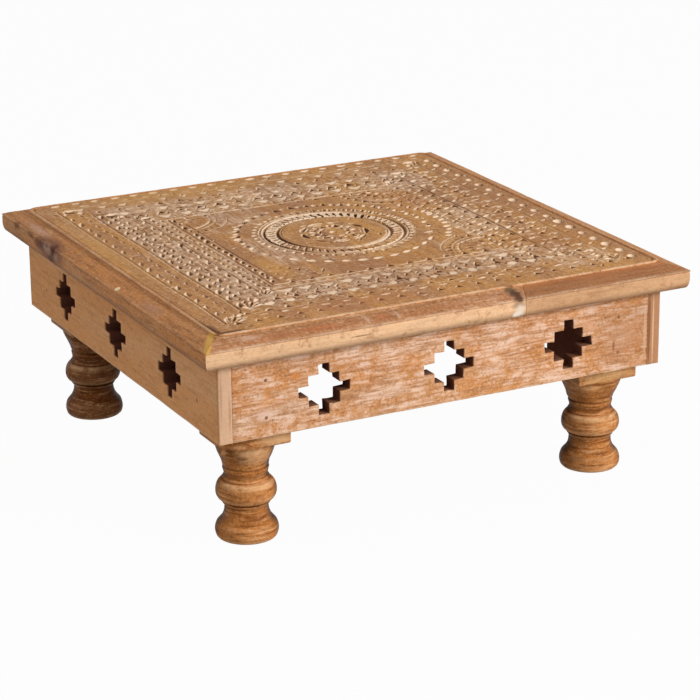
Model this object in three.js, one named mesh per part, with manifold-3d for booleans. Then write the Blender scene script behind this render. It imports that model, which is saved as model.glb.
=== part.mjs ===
// Low table (bajot): a plank top in a mitred, moulded frame, on a fretwork apron and four turned legs.
// Millimetres. +X runs right along the front, +Y to the back, +Z up; the origin is on the floor, under
// the middle of the table. Each side is built as if it were the front and turned into place, so in a
// side's own frame x runs along it, a distance "out" from the middle is -y, and z is the height.

import * as THREE from 'three';
import { mergeVertices } from 'three/addons/utils/BufferGeometryUtils.js';
import Module from 'manifold-3d';

const wasm = await Module();
wasm.setup();

// Overall sizes
const TABLE_SIDE = 450;
const FLOOR_TO_APRON = 98.8;
const APRON_HEIGHT = 69.3;
const FRAME_EDGE = 16;
const FRAME_RISE = 6.6;
const OVERHANG = 18.15;

// Fits
const JOINT_GAP = 0.3;
const CUT_OVERRUN = 1;

// Frame moulding, from the outer lip to the bead beside the planks
const FACE_WIDTH = 21;
const EDGE_ROUND_WIDTH = 3;
const EDGE_ROUND_HEIGHT = 9;
const FASCIA_INSET = 0.2;
const QUIRK_HEIGHT = 1.2;
const QUIRK_DEPTH = 0.9;
const LIP_THICKNESS = 1.4;
const BEAD_WIDTH = 4;
const BEAD_STAND = 0.4;
const COVE_WIDTH = 2.4;
const COVE_DEPTH = 1.2;
const BEAD_FOOT = 1.5;
const SEAT_WIDTH = 12;
const SPLICE_PAST_NAIL = 6.1;
const SPLICE_SLOPE_SHARE = 0.38;

// Planks
const PLANK_COUNT = 4;
const PANEL_THICKNESS = 14;

// The larger cuts of the carving: two turned grooves between a rosette and a ring of chips, round a
// middle that lies a little off the table's own, a square of vee lines, and rows of three-sided chips
const MEDALLION_RIGHT = 4;
const MEDALLION_BACK = 4.5;
const INNER_RING_RADIUS = 50;
const OUTER_RING_RADIUS = 61;
const RING_GROOVE_WIDTH = 3.4;
const RING_GROOVE_DEPTH = 1.8;
const RING_SEGMENTS = 40;
const ROSETTE = { chip: { width: 6.5, length: 8, depth: 1.6 }, radius: 19.5, count: 9 };
const CHIP_RING = { chip: { width: 5.5, length: 8, depth: 1.8 }, radius: 88, count: 36 };
const SQUARE_LINE_INSET = 93.2;
const SQUARE_LINE_WIDTH = 2.6;
const SQUARE_LINE_DEPTH = 1;
const BROAD_CHIP = { width: 12, length: 8.8, depth: 2 };
const NARROW_CHIP = { width: 6.5, length: 8, depth: 1.8 };
const CHIP_TIP_SHARE = 0.12;
const CHIP_ROWS = {
  front: [
    { chip: NARROW_CHIP, inset: 17.7, pitch: 18.3, shift: 4, quarterTurns: 2 },
    { chip: BROAD_CHIP, inset: 54.7, pitch: 18.9, shift: -1.5, quarterTurns: 0 },
    { chip: BROAD_CHIP, inset: 78.7, pitch: 18.6, shift: 5, quarterTurns: 0 },
  ],
  right: [
    { chip: NARROW_CHIP, inset: 30.7, pitch: 19.6, shift: 4, quarterTurns: 0 },
    { chip: NARROW_CHIP, inset: 42.7, pitch: 19.6, shift: 10, quarterTurns: 2 },
    { chip: NARROW_CHIP, inset: 68.2, pitch: 20.2, shift: 4, quarterTurns: 2 },
  ],
  back: [
    { chip: NARROW_CHIP, inset: 24.7, pitch: 20.2, shift: 3.5, quarterTurns: 2 },
    { chip: BROAD_CHIP, inset: 53.7, pitch: 19, shift: 1.5, quarterTurns: 2 },
    { chip: BROAD_CHIP, inset: 78.7, pitch: 19.2, shift: 8, quarterTurns: 2 },
  ],
  left: [
    { chip: NARROW_CHIP, inset: 20.7, pitch: 19.3, shift: 2, quarterTurns: 0 },
    { chip: NARROW_CHIP, inset: 45.7, pitch: 19.4, shift: 8, quarterTurns: 0 },
    { chip: NARROW_CHIP, inset: 71.2, pitch: 19.8, shift: 7, quarterTurns: 0 },
  ],
};

// Apron boards and their cut-outs
const END_BOARD_THICKNESS = 14;
const SIDE_BOARD_THICKNESS = 16;
const SIDE_BOARD_REBATE = 4;
const FRET_CELL_WIDTH = 9.24;
const FRET_CELL_HEIGHT = 8.64;
const FRET_STEPS = 2;
const FRETS_PER_BOARD = 3;
const FRET_FROM_CORNER = 92;
const FRET_HEIGHT = 31.8;
const FRONT_FRET_SHIFT = 1.2;
const LEFT_FRET_SHIFT = -4.7;

// Legs: the square block, then the turning from the floor up
const BLOCK_WIDTH = 58;
const BLOCK_DEPTH = 54;
const BLOCK_CHAMFER = 2;
const BLOCK_UNDERSIDE = 84;
const FOOT_BOTTOM_RADIUS = 23;
const FOOT_RADIUS = 26.4;
const FOOT_ROUND = 5;
const FOOT_BAND = 8;
const SHOULDER_RADIUS = 25.4;
const SHOULDER_HEIGHT = 13;
const WAIST_RADIUS = 18.4;
const WAIST_HEIGHT = 26;
const GROOVE_RADIUS = 18.7;
const FILLET_RADIUS = 19.9;
const FILLET_WIDTH = 2.4;
const GROOVE_WIDTH = 1.8;
const RING_CORE_RADIUS = 19;
const RING_RADIUS = 25.4;
const RING_CENTRE = 41;
const RING_HALF_HEIGHT = 9.2;
const NECK_RADIUS = 18.2;
const NECK_HEIGHT = 55.5;
const COLLAR_RADIUS = 19.4;
const COLLAR_HEIGHT = 60.8;
const CUP_FOOT_RADIUS = 19.1;
const CUP_FOOT_HEIGHT = 62.6;
const CUP_FLARE_RADIUS = 24.9;
const CUP_FLARE_HEIGHT = 71.7;
const CUP_RADIUS = 26.8;
const TURNING_SEGMENTS = 20;
const CURVE_STEPS = 3;

// Nails
const NAIL_LENGTH = 38;
const PANEL_NAIL_LENGTH = 28;
const NAIL_RADIUS = 1.1;
const NAIL_HEAD_RADIUS = 2.3;
const NAIL_HEAD_THICKNESS = 0.9;
const NAIL_POINT = 3;
const NAIL_SEGMENTS = 6;
const LOWER_NAIL_INSET = 16.5;
const UPPER_NAIL_INSET = 21.1;
const SIDE_NAIL_STAGGER = 9;
const SEAT_NAIL_FROM_CORNER = 75;

// Levels and reaches that follow from them
const halfSide = TABLE_SIDE / 2;
const apronFace = halfSide - OVERHANG;
const apronTop = FLOOR_TO_APRON + APRON_HEIGHT;
const frameUnderside = apronTop + JOINT_GAP;
const arrisHeight = frameUnderside + FRAME_EDGE;
const panelTop = arrisHeight + FRAME_RISE;
const panelUnderside = panelTop - PANEL_THICKNESS;
const seatHeight = panelUnderside - JOINT_GAP;
const panelOpening = halfSide - FACE_WIDTH;
const panelReach = panelOpening - JOINT_GAP;
const mitreBack = JOINT_GAP / Math.SQRT2;
const fretPitch = 2 * (apronFace - FRET_FROM_CORNER) / (FRETS_PER_BOARD - 1);
const seatNailInner = fretPitch / 2;
const seatNailOuter = halfSide - SEAT_NAIL_FROM_CORNER;
const lapThickness = SIDE_BOARD_THICKNESS - SIDE_BOARD_REBATE;
const legCentreX = apronFace - lapThickness - JOINT_GAP - BLOCK_WIDTH / 2;
const legCentreY = apronFace - END_BOARD_THICKNESS - JOINT_GAP - BLOCK_DEPTH / 2;

const materials = {
  frame: new THREE.MeshStandardMaterial({ color: 0xb48358, roughness: 0.75, metalness: 0 }),
  plank: new THREE.MeshStandardMaterial({ color: 0xab8259, roughness: 0.8, metalness: 0 }),
  apron: new THREE.MeshStandardMaterial({ color: 0xc08f63, roughness: 0.8, metalness: 0 }),
  leg: new THREE.MeshStandardMaterial({ color: 0x9a6a3d, roughness: 0.7, metalness: 0 }),
  nail: new THREE.MeshStandardMaterial({ color: 0x5a4a3e, roughness: 0.6, metalness: 0.8 }),
};

// Solids

// Shares the vertices of a geometry and drops the faces that closed up at a pole.
function weld(geometry) {
  const bare = geometry.clone();
  bare.deleteAttribute('normal');
  bare.deleteAttribute('uv');
  const merged = mergeVertices(bare);
  const index = merged.getIndex().array;
  const faces = [];
  for (let i = 0; i < index.length; i += 3) {
    const [a, b, c] = [index[i], index[i + 1], index[i + 2]];
    if (a !== b && b !== c && c !== a) {
      faces.push(a, b, c);
    }
  }
  merged.setIndex(faces);
  return merged;
}

function toSolid(geometry) {
  const welded = weld(geometry);
  return new wasm.Manifold(new wasm.Mesh({
    numProp: 3,
    vertProperties: new Float32Array(welded.getAttribute('position').array),
    triVerts: new Uint32Array(welded.getIndex().array),
  }));
}

function toGeometry(solid) {
  const mesh = solid.getMesh();
  const geometry = new THREE.BufferGeometry();
  geometry.setAttribute('position', new THREE.BufferAttribute(mesh.vertProperties, 3));
  geometry.setIndex(new THREE.BufferAttribute(mesh.triVerts, 1));
  geometry.computeVertexNormals();
  return geometry;
}

function cutAll(geometry, cutters) {
  const cut = cutters.reduce((solid, cutter) => solid.subtract(toSolid(cutter)), toSolid(geometry));
  return toGeometry(cut);
}

// A profile of (radius, height) points turned round the z axis.
function turned(points, segments) {
  return new THREE.LatheGeometry(points, segments).rotateX(Math.PI / 2);
}

// A straight length of moulding whose two ends may be cut at any angle. The profile's points are
// (distance out, height), anticlockwise; each end's place along the side follows from the distance out.
function moulding(profile, startAt, endAt) {
  const count = profile.length;
  const positions = [startAt, endAt].flatMap((placeAt) =>
    profile.flatMap((point) => [placeAt(point.x), -point.x, point.y]));
  const faces = [];
  for (let i = 0; i < count; i += 1) {
    const next = (i + 1) % count;
    faces.push(i, count + next, next, i, count + i, count + next);
  }
  for (const [a, b, c] of THREE.ShapeUtils.triangulateShape(profile, [])) {
    faces.push(a, b, c, count + a, count + c, count + b);
  }
  const geometry = new THREE.BufferGeometry();
  geometry.setAttribute('position', new THREE.Float32BufferAttribute(positions, 3));
  geometry.setIndex(faces);
  geometry.computeVertexNormals();
  return geometry;
}

function piece(name, geometry, material) {
  const mesh = new THREE.Mesh(geometry, material);
  mesh.name = name;
  return mesh;
}

// Nails, head upwards with the head's top at the origin

function nailProfile(length, clearance, headroom) {
  const shank = NAIL_RADIUS + clearance;
  const head = NAIL_HEAD_RADIUS + clearance;
  const underHead = -NAIL_HEAD_THICKNESS - clearance;
  const tip = -length - clearance;
  return [
    new THREE.Vector2(0, tip),
    new THREE.Vector2(shank, tip + NAIL_POINT),
    new THREE.Vector2(shank, underHead),
    new THREE.Vector2(head, underHead),
    new THREE.Vector2(head, headroom),
    new THREE.Vector2(0, headroom),
  ];
}

function nail(length) {
  return turned(nailProfile(length, 0, 0), NAIL_SEGMENTS);
}

function nailBore(length) {
  return turned(nailProfile(length, JOINT_GAP, CUT_OVERRUN), NAIL_SEGMENTS);
}

// Turns a nail or its bore to point inwards from a side's outer face.
function driveIn(geometry, along, out, height) {
  return geometry.rotateX(Math.PI / 2).translate(along, -out, height);
}

// Top frame

function frameProfile() {
  const fascia = halfSide - FASCIA_INSET;
  const lipRadius = LIP_THICKNESS / 2;
  const lipUnderside = arrisHeight - LIP_THICKNESS;
  const quirkFoot = lipUnderside - QUIRK_HEIGHT;
  const beadRadius = BEAD_WIDTH / 2;
  const beadFoot = panelTop - BEAD_FOOT;
  const beadCentre = panelOpening + beadRadius;
  const coveOut = panelOpening + BEAD_WIDTH + COVE_WIDTH;
  const slopeRun = halfSide - lipRadius - panelOpening - BEAD_WIDTH;
  const coveRim = beadFoot - (beadFoot - arrisHeight) * (COVE_WIDTH / slopeRun);
  const outline = new THREE.Path();
  outline.moveTo(panelOpening - SEAT_WIDTH, frameUnderside);
  outline.lineTo(fascia - EDGE_ROUND_WIDTH, frameUnderside);
  outline.absellipse(
    fascia - EDGE_ROUND_WIDTH, frameUnderside + EDGE_ROUND_HEIGHT,
    EDGE_ROUND_WIDTH, EDGE_ROUND_HEIGHT, -Math.PI / 2, 0, false, 0);
  outline.lineTo(fascia, quirkFoot);
  outline.lineTo(fascia - QUIRK_DEPTH, quirkFoot + QUIRK_HEIGHT / 2);
  outline.lineTo(halfSide - lipRadius, lipUnderside);
  outline.absarc(halfSide - lipRadius, lipUnderside + lipRadius, lipRadius, -Math.PI / 2, Math.PI / 2, false);
  outline.lineTo(coveOut, coveRim);
  outline.quadraticCurveTo(
    panelOpening + BEAD_WIDTH, coveRim - COVE_DEPTH, panelOpening + BEAD_WIDTH, beadFoot);
  outline.absellipse(
    beadCentre, beadFoot, beadRadius, BEAD_FOOT + BEAD_STAND, 0, Math.PI, false, 0);
  outline.lineTo(panelOpening, seatHeight);
  outline.lineTo(panelOpening - SEAT_WIDTH, seatHeight);
  return withoutRepeats(outline.getPoints(CURVE_STEPS));
}

// Drops a point that repeats the one before it, where a curve starts at the end of the last.
function withoutRepeats(points) {
  return points.filter((point, i) => i === 0 || point.distanceTo(points[i - 1]) > JOINT_GAP / 10);
}

const mitreEnd = (out) => out - mitreBack;
const mitreStart = (out) => -mitreEnd(out);
const spliceAt = (out) => seatNailInner + SPLICE_PAST_NAIL + (halfSide - out) * SPLICE_SLOPE_SHARE;
const beforeSplice = (out) => spliceAt(out) - JOINT_GAP / 2;
const afterSplice = (out) => spliceAt(out) + JOINT_GAP / 2;

// Nails through the frame's seat into the apron board below, hidden once the planks lie on them.
function seatNailPlaces() {
  return [-seatNailOuter, -seatNailInner, seatNailInner, seatNailOuter];
}

function rail(startAt, endAt, { nailOut }) {
  const bores = seatNailPlaces()
    .filter((along) => along > startAt(nailOut) && along < endAt(nailOut))
    .map((along) => nailBore(PANEL_NAIL_LENGTH).translate(along, -nailOut, seatHeight));
  return cutAll(moulding(frameProfile(), startAt, endAt), bores);
}

// Apron

// Cutters for one stepped cross: boxes with a shared middle that trade width for height step by step.
function crossCutters(along, out, height, depth) {
  const cutters = [];
  for (let step = 0; step <= FRET_STEPS; step += 1) {
    const across = (2 * step + 1) * FRET_CELL_WIDTH;
    const upright = (2 * (FRET_STEPS - step) + 1) * FRET_CELL_HEIGHT;
    cutters.push(new THREE.BoxGeometry(across, depth, upright).translate(along, -out, height));
  }
  return cutters;
}

function boardFrets(out, thickness, shift) {
  const cutters = [];
  for (let i = 0; i < FRETS_PER_BOARD; i += 1) {
    const along = shift + (i - (FRETS_PER_BOARD - 1) / 2) * fretPitch;
    cutters.push(...crossCutters(along, out, FLOOR_TO_APRON + FRET_HEIGHT, thickness + 2 * CUT_OVERRUN));
  }
  return cutters;
}

// A board in plan, with its outer face on y = 0. Past its shoulders a rebate thins it at the back.
function boardPlan({ halfLength, thickness, rebate, shoulder }) {
  return new THREE.Shape(withoutRepeats([
    new THREE.Vector2(-halfLength, 0),
    new THREE.Vector2(halfLength, 0),
    new THREE.Vector2(halfLength, thickness - rebate),
    new THREE.Vector2(shoulder, thickness - rebate),
    new THREE.Vector2(shoulder, thickness),
    new THREE.Vector2(-shoulder, thickness),
    new THREE.Vector2(-shoulder, thickness - rebate),
    new THREE.Vector2(-halfLength, thickness - rebate),
  ]));
}

function apronBoard(board, fretShift) {
  const blank = new THREE.ExtrudeGeometry(boardPlan(board), { depth: APRON_HEIGHT, bevelEnabled: false })
    .translate(0, -apronFace, FLOOR_TO_APRON);
  const frets = boardFrets(apronFace - board.thickness / 2, board.thickness, fretShift);
  const legBores = blockNailPlaces(board.nailAlong, board.nailRise)
    .map(([along, height]) => driveIn(nailBore(NAIL_LENGTH), along, apronFace, height));
  const seatBores = seatNailPlaces()
    .map((along) => nailBore(PANEL_NAIL_LENGTH).translate(along, -board.nailOut, seatHeight));
  return cutAll(blank, [...frets, ...legBores, ...seatBores]);
}

// Two nails, one over the other, hold the board to the block at each end.
function nailHeights(rise) {
  return [FLOOR_TO_APRON + LOWER_NAIL_INSET + rise, apronTop - UPPER_NAIL_INSET + rise];
}

function blockNailPlaces(along, rise) {
  return [-along, along].flatMap((place) => nailHeights(rise).map((height) => [place, height]));
}

// Legs

// The turning's half outline, from the middle of the foot to inside the block.
function turningProfile() {
  const lowFillet = RING_CENTRE - RING_HALF_HEIGHT - GROOVE_WIDTH / 2;
  const highFillet = RING_CENTRE + RING_HALF_HEIGHT + GROOVE_WIDTH / 2;
  const outline = new THREE.Path();
  outline.moveTo(0, 0);
  outline.lineTo(FOOT_BOTTOM_RADIUS, 0);
  outline.absellipse(
    FOOT_BOTTOM_RADIUS, FOOT_ROUND, FOOT_RADIUS - FOOT_BOTTOM_RADIUS, FOOT_ROUND,
    -Math.PI / 2, 0, false, 0);
  outline.lineTo(FOOT_RADIUS, FOOT_BAND);
  outline.lineTo(SHOULDER_RADIUS, SHOULDER_HEIGHT);
  outline.quadraticCurveTo(
    WAIST_RADIUS, (SHOULDER_HEIGHT + WAIST_HEIGHT) / 2, WAIST_RADIUS, WAIST_HEIGHT);
  outline.quadraticCurveTo(WAIST_RADIUS, lowFillet - FILLET_WIDTH / 2, FILLET_RADIUS, lowFillet);
  outline.lineTo(GROOVE_RADIUS, lowFillet + GROOVE_WIDTH / 2);
  outline.absellipse(
    RING_CORE_RADIUS, RING_CENTRE, RING_RADIUS - RING_CORE_RADIUS, RING_HALF_HEIGHT,
    -Math.PI / 2, Math.PI / 2, false, 0);
  outline.lineTo(GROOVE_RADIUS, highFillet - GROOVE_WIDTH / 2);
  outline.lineTo(FILLET_RADIUS, highFillet);
  outline.quadraticCurveTo(
    NECK_RADIUS, highFillet + FILLET_WIDTH / 2, NECK_RADIUS, NECK_HEIGHT);
  outline.quadraticCurveTo(
    NECK_RADIUS, (NECK_HEIGHT + COLLAR_HEIGHT) / 2, COLLAR_RADIUS, COLLAR_HEIGHT);
  outline.lineTo(GROOVE_RADIUS, COLLAR_HEIGHT + GROOVE_WIDTH / 2);
  outline.lineTo(CUP_FOOT_RADIUS, CUP_FOOT_HEIGHT);
  outline.quadraticCurveTo(CUP_FLARE_RADIUS, CUP_FLARE_HEIGHT, CUP_RADIUS, BLOCK_UNDERSIDE);
  outline.lineTo(CUP_RADIUS, BLOCK_UNDERSIDE + BLOCK_CHAMFER + CUT_OVERRUN);
  outline.lineTo(0, BLOCK_UNDERSIDE + BLOCK_CHAMFER + CUT_OVERRUN);
  return withoutRepeats(outline.getPoints(CURVE_STEPS));
}

function legBlock() {
  const plan = new THREE.Shape();
  plan.moveTo(-BLOCK_WIDTH / 2, -BLOCK_DEPTH / 2);
  plan.lineTo(BLOCK_WIDTH / 2, -BLOCK_DEPTH / 2);
  plan.lineTo(BLOCK_WIDTH / 2, BLOCK_DEPTH / 2);
  plan.lineTo(-BLOCK_WIDTH / 2, BLOCK_DEPTH / 2);
  plan.closePath();
  return new THREE.ExtrudeGeometry(plan, {
    depth: apronTop - BLOCK_UNDERSIDE - 2 * BLOCK_CHAMFER,
    bevelThickness: BLOCK_CHAMFER,
    bevelSize: BLOCK_CHAMFER,
    bevelOffset: -BLOCK_CHAMFER,
    bevelSegments: 1,
  }).translate(0, 0, BLOCK_UNDERSIDE + BLOCK_CHAMFER);
}

// The leg stands with its axis on z; handX and handY say which corner of the table it belongs to.
function leg(handX, handY) {
  const whole = toSolid(turned(turningProfile(), TURNING_SEGMENTS)).add(toSolid(legBlock()));
  const endNails = nailHeights(endBoard.nailRise).map((height) =>
    driveIn(nailBore(NAIL_LENGTH), 0, apronFace - legCentreY, height)
      .rotateZ(handY > 0 ? Math.PI : 0));
  const sideNails = nailHeights(sideBoard.nailRise).map((height) =>
    driveIn(nailBore(NAIL_LENGTH), 0, apronFace - legCentreX, height)
      .rotateZ(handX * Math.PI / 2));
  const bored = [...endNails, ...sideNails]
    .reduce((solid, bore) => solid.subtract(toSolid(bore)), whole);
  return toGeometry(bored);
}

// Assembly

const endBoard = {
  halfLength: apronFace - lapThickness - JOINT_GAP,
  thickness: END_BOARD_THICKNESS,
  rebate: 0,
  shoulder: apronFace - lapThickness - JOINT_GAP,
  nailOut: apronFace - END_BOARD_THICKNESS / 2,
  nailAlong: legCentreX,
  nailRise: 0,
};
const sideBoard = {
  halfLength: apronFace,
  thickness: SIDE_BOARD_THICKNESS,
  rebate: SIDE_BOARD_REBATE,
  shoulder: legCentreY - BLOCK_DEPTH / 2 - JOINT_GAP,
  nailOut: apronFace - lapThickness / 2,
  nailAlong: legCentreY,
  nailRise: SIDE_NAIL_STAGGER,
};
const sides = [
  { name: 'front', quarterTurns: 0, board: endBoard, fretShift: FRONT_FRET_SHIFT },
  { name: 'right', quarterTurns: 1, board: sideBoard, fretShift: 0 },
  { name: 'back', quarterTurns: 2, board: endBoard, fretShift: 0 },
  { name: 'left', quarterTurns: 3, board: sideBoard, fretShift: LEFT_FRET_SHIFT },
];

function railsOf({ name, board }) {
  if (name !== 'front') {
    return [piece(`top_rail_${name}`, rail(mitreStart, mitreEnd, board), materials.frame)];
  }
  return [
    piece('top_rail_front_long', rail(mitreStart, beforeSplice, board), materials.frame),
    piece('top_rail_front_short', rail(afterSplice, mitreEnd, board), materials.frame),
  ];
}

function buildSide(side) {
  const { name, quarterTurns, board, fretShift } = side;
  const group = new THREE.Group();
  group.rotation.z = quarterTurns * Math.PI / 2;
  group.add(...railsOf(side));
  group.add(piece(`apron_${name}`, apronBoard(board, fretShift), materials.apron));
  blockNailPlaces(board.nailAlong, board.nailRise).forEach(([along, height], i) => {
    const fixing = piece(`apron_nail_${name}_${i + 1}`, nail(NAIL_LENGTH), materials.nail);
    fixing.position.set(along, -apronFace, height);
    fixing.rotation.x = Math.PI / 2;
    group.add(fixing);
  });
  seatNailPlaces().forEach((along, i) => {
    const fixing = piece(`seat_nail_${name}_${i + 1}`, nail(PANEL_NAIL_LENGTH), materials.nail);
    fixing.position.set(along, -board.nailOut, seatHeight);
    group.add(fixing);
  });
  return group;
}

// Carving. Each cutter is placed over the whole panel, with z = 0 on the panel's top.

// A vee-shaped profile that cuts a groove, point downwards, at a distance from the middle.
function veeProfile(distance, width, depth) {
  const overWidth = (depth + CUT_OVERRUN) * (width / 2 / depth);
  return [
    new THREE.Vector2(distance, -depth),
    new THREE.Vector2(distance + overWidth, CUT_OVERRUN),
    new THREE.Vector2(distance - overWidth, CUT_OVERRUN),
  ];
}

function ringCutter(radius) {
  const vee = veeProfile(radius, RING_GROOVE_WIDTH, RING_GROOVE_DEPTH);
  return turned([...vee, vee[0]], RING_SEGMENTS).translate(MEDALLION_RIGHT, MEDALLION_BACK, 0);
}

function lineCutter() {
  const out = panelReach - SQUARE_LINE_INSET;
  const reach = out + SQUARE_LINE_WIDTH / 2;
  return moulding(veeProfile(out, SQUARE_LINE_WIDTH, SQUARE_LINE_DEPTH), () => -reach, () => reach);
}

// A three-sided chip that points along -y: its floor runs down to a deep point near the tip.
function chipCutter({ width, length, depth }) {
  const bottom = new THREE.Vector3(0, (CHIP_TIP_SHARE - 1 / 2) * length, -depth);
  const rim = [
    new THREE.Vector3(-width / 2, length / 2, 0),
    new THREE.Vector3(0, -length / 2, 0),
    new THREE.Vector3(width / 2, length / 2, 0),
  ].map((corner) => corner.sub(bottom).multiplyScalar((depth + CUT_OVERRUN) / depth).add(bottom));
  const geometry = new THREE.BufferGeometry().setFromPoints([...rim, bottom]);
  geometry.setIndex([0, 1, 2, 0, 2, 3, 2, 1, 3, 1, 0, 3]);
  return geometry;
}

// A row keeps to its own side of the square's diagonals.
function rowCutters({ chip, inset, pitch, shift, quarterTurns }) {
  const out = panelReach - inset;
  const reach = out - chip.width / 2;
  const cutters = [];
  for (let i = Math.ceil((-reach - shift) / pitch); shift + i * pitch <= reach; i += 1) {
    cutters.push(chipCutter(chip)
      .rotateZ(quarterTurns * Math.PI / 2)
      .translate(shift + i * pitch, -out, 0));
  }
  return cutters;
}

function chipsRound({ chip, radius, count }) {
  const cutters = [];
  for (let i = 0; i < count; i += 1) {
    cutters.push(chipCutter(chip)
      .translate(0, -radius, 0)
      .rotateZ(i / count * 2 * Math.PI)
      .translate(MEDALLION_RIGHT, MEDALLION_BACK, 0));
  }
  return cutters;
}

function carvingCutters() {
  const bands = sides.flatMap(({ name, quarterTurns }) =>
    [lineCutter(), ...CHIP_ROWS[name].flatMap(rowCutters)]
      .map((cutter) => cutter.rotateZ(quarterTurns * Math.PI / 2)));
  const grooves = [INNER_RING_RADIUS, OUTER_RING_RADIUS].map(ringCutter);
  return [...grooves, ...[ROSETTE, CHIP_RING].flatMap(chipsRound), ...bands];
}

// The planks run from front to back and fill the frame's opening. The carving crosses their joints, so
// each plank takes the cuts that pass over it.
function buildPlanks() {
  const group = new THREE.Group();
  const cutters = carvingCutters();
  const width = (2 * panelReach - (PLANK_COUNT - 1) * JOINT_GAP) / PLANK_COUNT;
  for (let i = 0; i < PLANK_COUNT; i += 1) {
    const middle = -panelReach + width / 2 + i * (width + JOINT_GAP);
    const over = cutters.filter((cutter) => {
      cutter.computeBoundingBox();
      const { min, max } = cutter.boundingBox;
      return max.x > middle - width / 2 && min.x < middle + width / 2;
    }).map((cutter) => cutter.clone().translate(-middle, 0, PANEL_THICKNESS / 2));
    const blank = new THREE.BoxGeometry(width, 2 * panelReach, PANEL_THICKNESS);
    const plank = piece(`top_plank_${i + 1}`, cutAll(blank, over), materials.plank);
    plank.position.set(middle, 0, panelUnderside + PANEL_THICKNESS / 2);
    group.add(plank);
  }
  return group;
}

function buildLegs() {
  const group = new THREE.Group();
  for (const [depthName, handY] of [['front', -1], ['back', 1]]) {
    for (const [widthName, handX] of [['left', -1], ['right', 1]]) {
      const standing = piece(`leg_${depthName}_${widthName}`, leg(handX, handY), materials.leg);
      standing.position.set(handX * legCentreX, handY * legCentreY, 0);
      group.add(standing);
    }
  }
  return group;
}

const table = new THREE.Group();
table.add(...sides.map(buildSide), buildPlanks(), buildLegs());

export default table;
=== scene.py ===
"""Looks of a low carved table: a moulded frame round chip-carved planks, pierced aprons and turned legs.

Sizes are in millimetres until they reach a mesh or a shader. +X runs right along the front, +Y to the
back and +Z up, with the origin on the floor under the middle of the table.
"""

import itertools
import logging
import math
from contextlib import contextmanager
from dataclasses import dataclass, field
from enum import Enum
from typing import Iterator, Sequence

import bpy
import numpy as np
from mathutils import Matrix, Vector


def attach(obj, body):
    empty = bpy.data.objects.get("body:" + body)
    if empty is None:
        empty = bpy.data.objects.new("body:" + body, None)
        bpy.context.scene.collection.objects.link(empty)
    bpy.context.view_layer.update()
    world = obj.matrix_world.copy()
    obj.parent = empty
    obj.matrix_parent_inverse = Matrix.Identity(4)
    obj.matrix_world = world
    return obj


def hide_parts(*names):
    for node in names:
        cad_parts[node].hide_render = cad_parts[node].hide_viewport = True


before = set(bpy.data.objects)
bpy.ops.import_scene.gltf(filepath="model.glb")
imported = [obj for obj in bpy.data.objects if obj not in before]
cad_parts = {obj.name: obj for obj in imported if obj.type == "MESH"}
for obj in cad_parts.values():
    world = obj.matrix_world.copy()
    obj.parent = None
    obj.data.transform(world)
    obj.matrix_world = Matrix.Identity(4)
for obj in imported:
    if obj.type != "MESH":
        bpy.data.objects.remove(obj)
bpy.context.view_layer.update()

MM = 0.001
BODY = "root"
QUARTER = math.pi / 2
Point = tuple[float, float]
Triple = tuple[float, float, float]
Colour = tuple[int, int, int]
Socket = bpy.types.NodeSocket
Piece = bpy.types.Object
Material = bpy.types.Material
Values = np.ndarray
log = logging.getLogger("carved_table")


class Side(Enum):
    """A side of the table, with its turns from the front and the direction that it faces."""

    FRONT = 0
    RIGHT = 1
    BACK = 2
    LEFT = 3

    @property
    def angle(self) -> float:
        """The turn from the front to this side, in radians."""
        return self.value * QUARTER

    @property
    def label(self) -> str:
        """The side's name in lower case."""
        return self.name.lower()


class Mode(Enum):
    """What edit mode selects."""

    VERTEX = (True, False, False)
    EDGE = (False, True, False)
    FACE = (False, False, True)


# Mesh tools

def points_of(piece: Piece) -> Values:
    """Reads a mesh's points.

    Args:
        piece: The mesh object.

    Returns:
        One row per point, in millimetres.
    """
    flat = np.empty(len(piece.data.vertices) * 3)
    piece.data.vertices.foreach_get("co", flat)
    return flat.reshape(-1, 3) / MM


def move_points(piece: Piece, points: Values) -> None:
    """Puts a mesh's points where they are told, one row for each, in millimetres."""
    piece.data.vertices.foreach_set("co", (points * MM).ravel())
    piece.data.update()


def deselect() -> None:
    """Leaves edit mode and deselects everything."""
    if bpy.context.object and bpy.context.object.mode != "OBJECT":
        bpy.ops.object.mode_set(mode="OBJECT")
    bpy.ops.object.select_all(action="DESELECT")


def pick(piece: Piece) -> None:
    """Makes a piece the only selected one.

    Args:
        piece: The object to select.
    """
    deselect()
    piece.select_set(True)
    bpy.context.view_layer.objects.active = piece


@contextmanager
def editing(piece: Piece, mode: Mode, chosen: Values | None = None) -> Iterator[None]:
    """Edit mode on one piece, with some or all of its elements selected.

    Args:
        piece: The mesh object.
        mode: Whether vertices, edges or faces are selected.
        chosen: One flag per element, or None for all of them.

    Yields:
        Nothing; the piece is in edit mode inside the block.
    """
    pick(piece)
    mesh = piece.data
    bpy.context.tool_settings.mesh_select_mode = mode.value
    if chosen is not None:
        parts = {Mode.VERTEX: mesh.vertices, Mode.EDGE: mesh.edges, Mode.FACE: mesh.polygons}
        for elements in parts.values():
            elements.foreach_set("select", np.zeros(len(elements), bool))
        parts[mode].foreach_set("select", np.asarray(chosen, bool))
    bpy.ops.object.mode_set(mode="EDIT")
    if chosen is None:
        bpy.ops.mesh.select_all(action="SELECT")
    yield
    bpy.ops.object.mode_set(mode="OBJECT")


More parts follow.
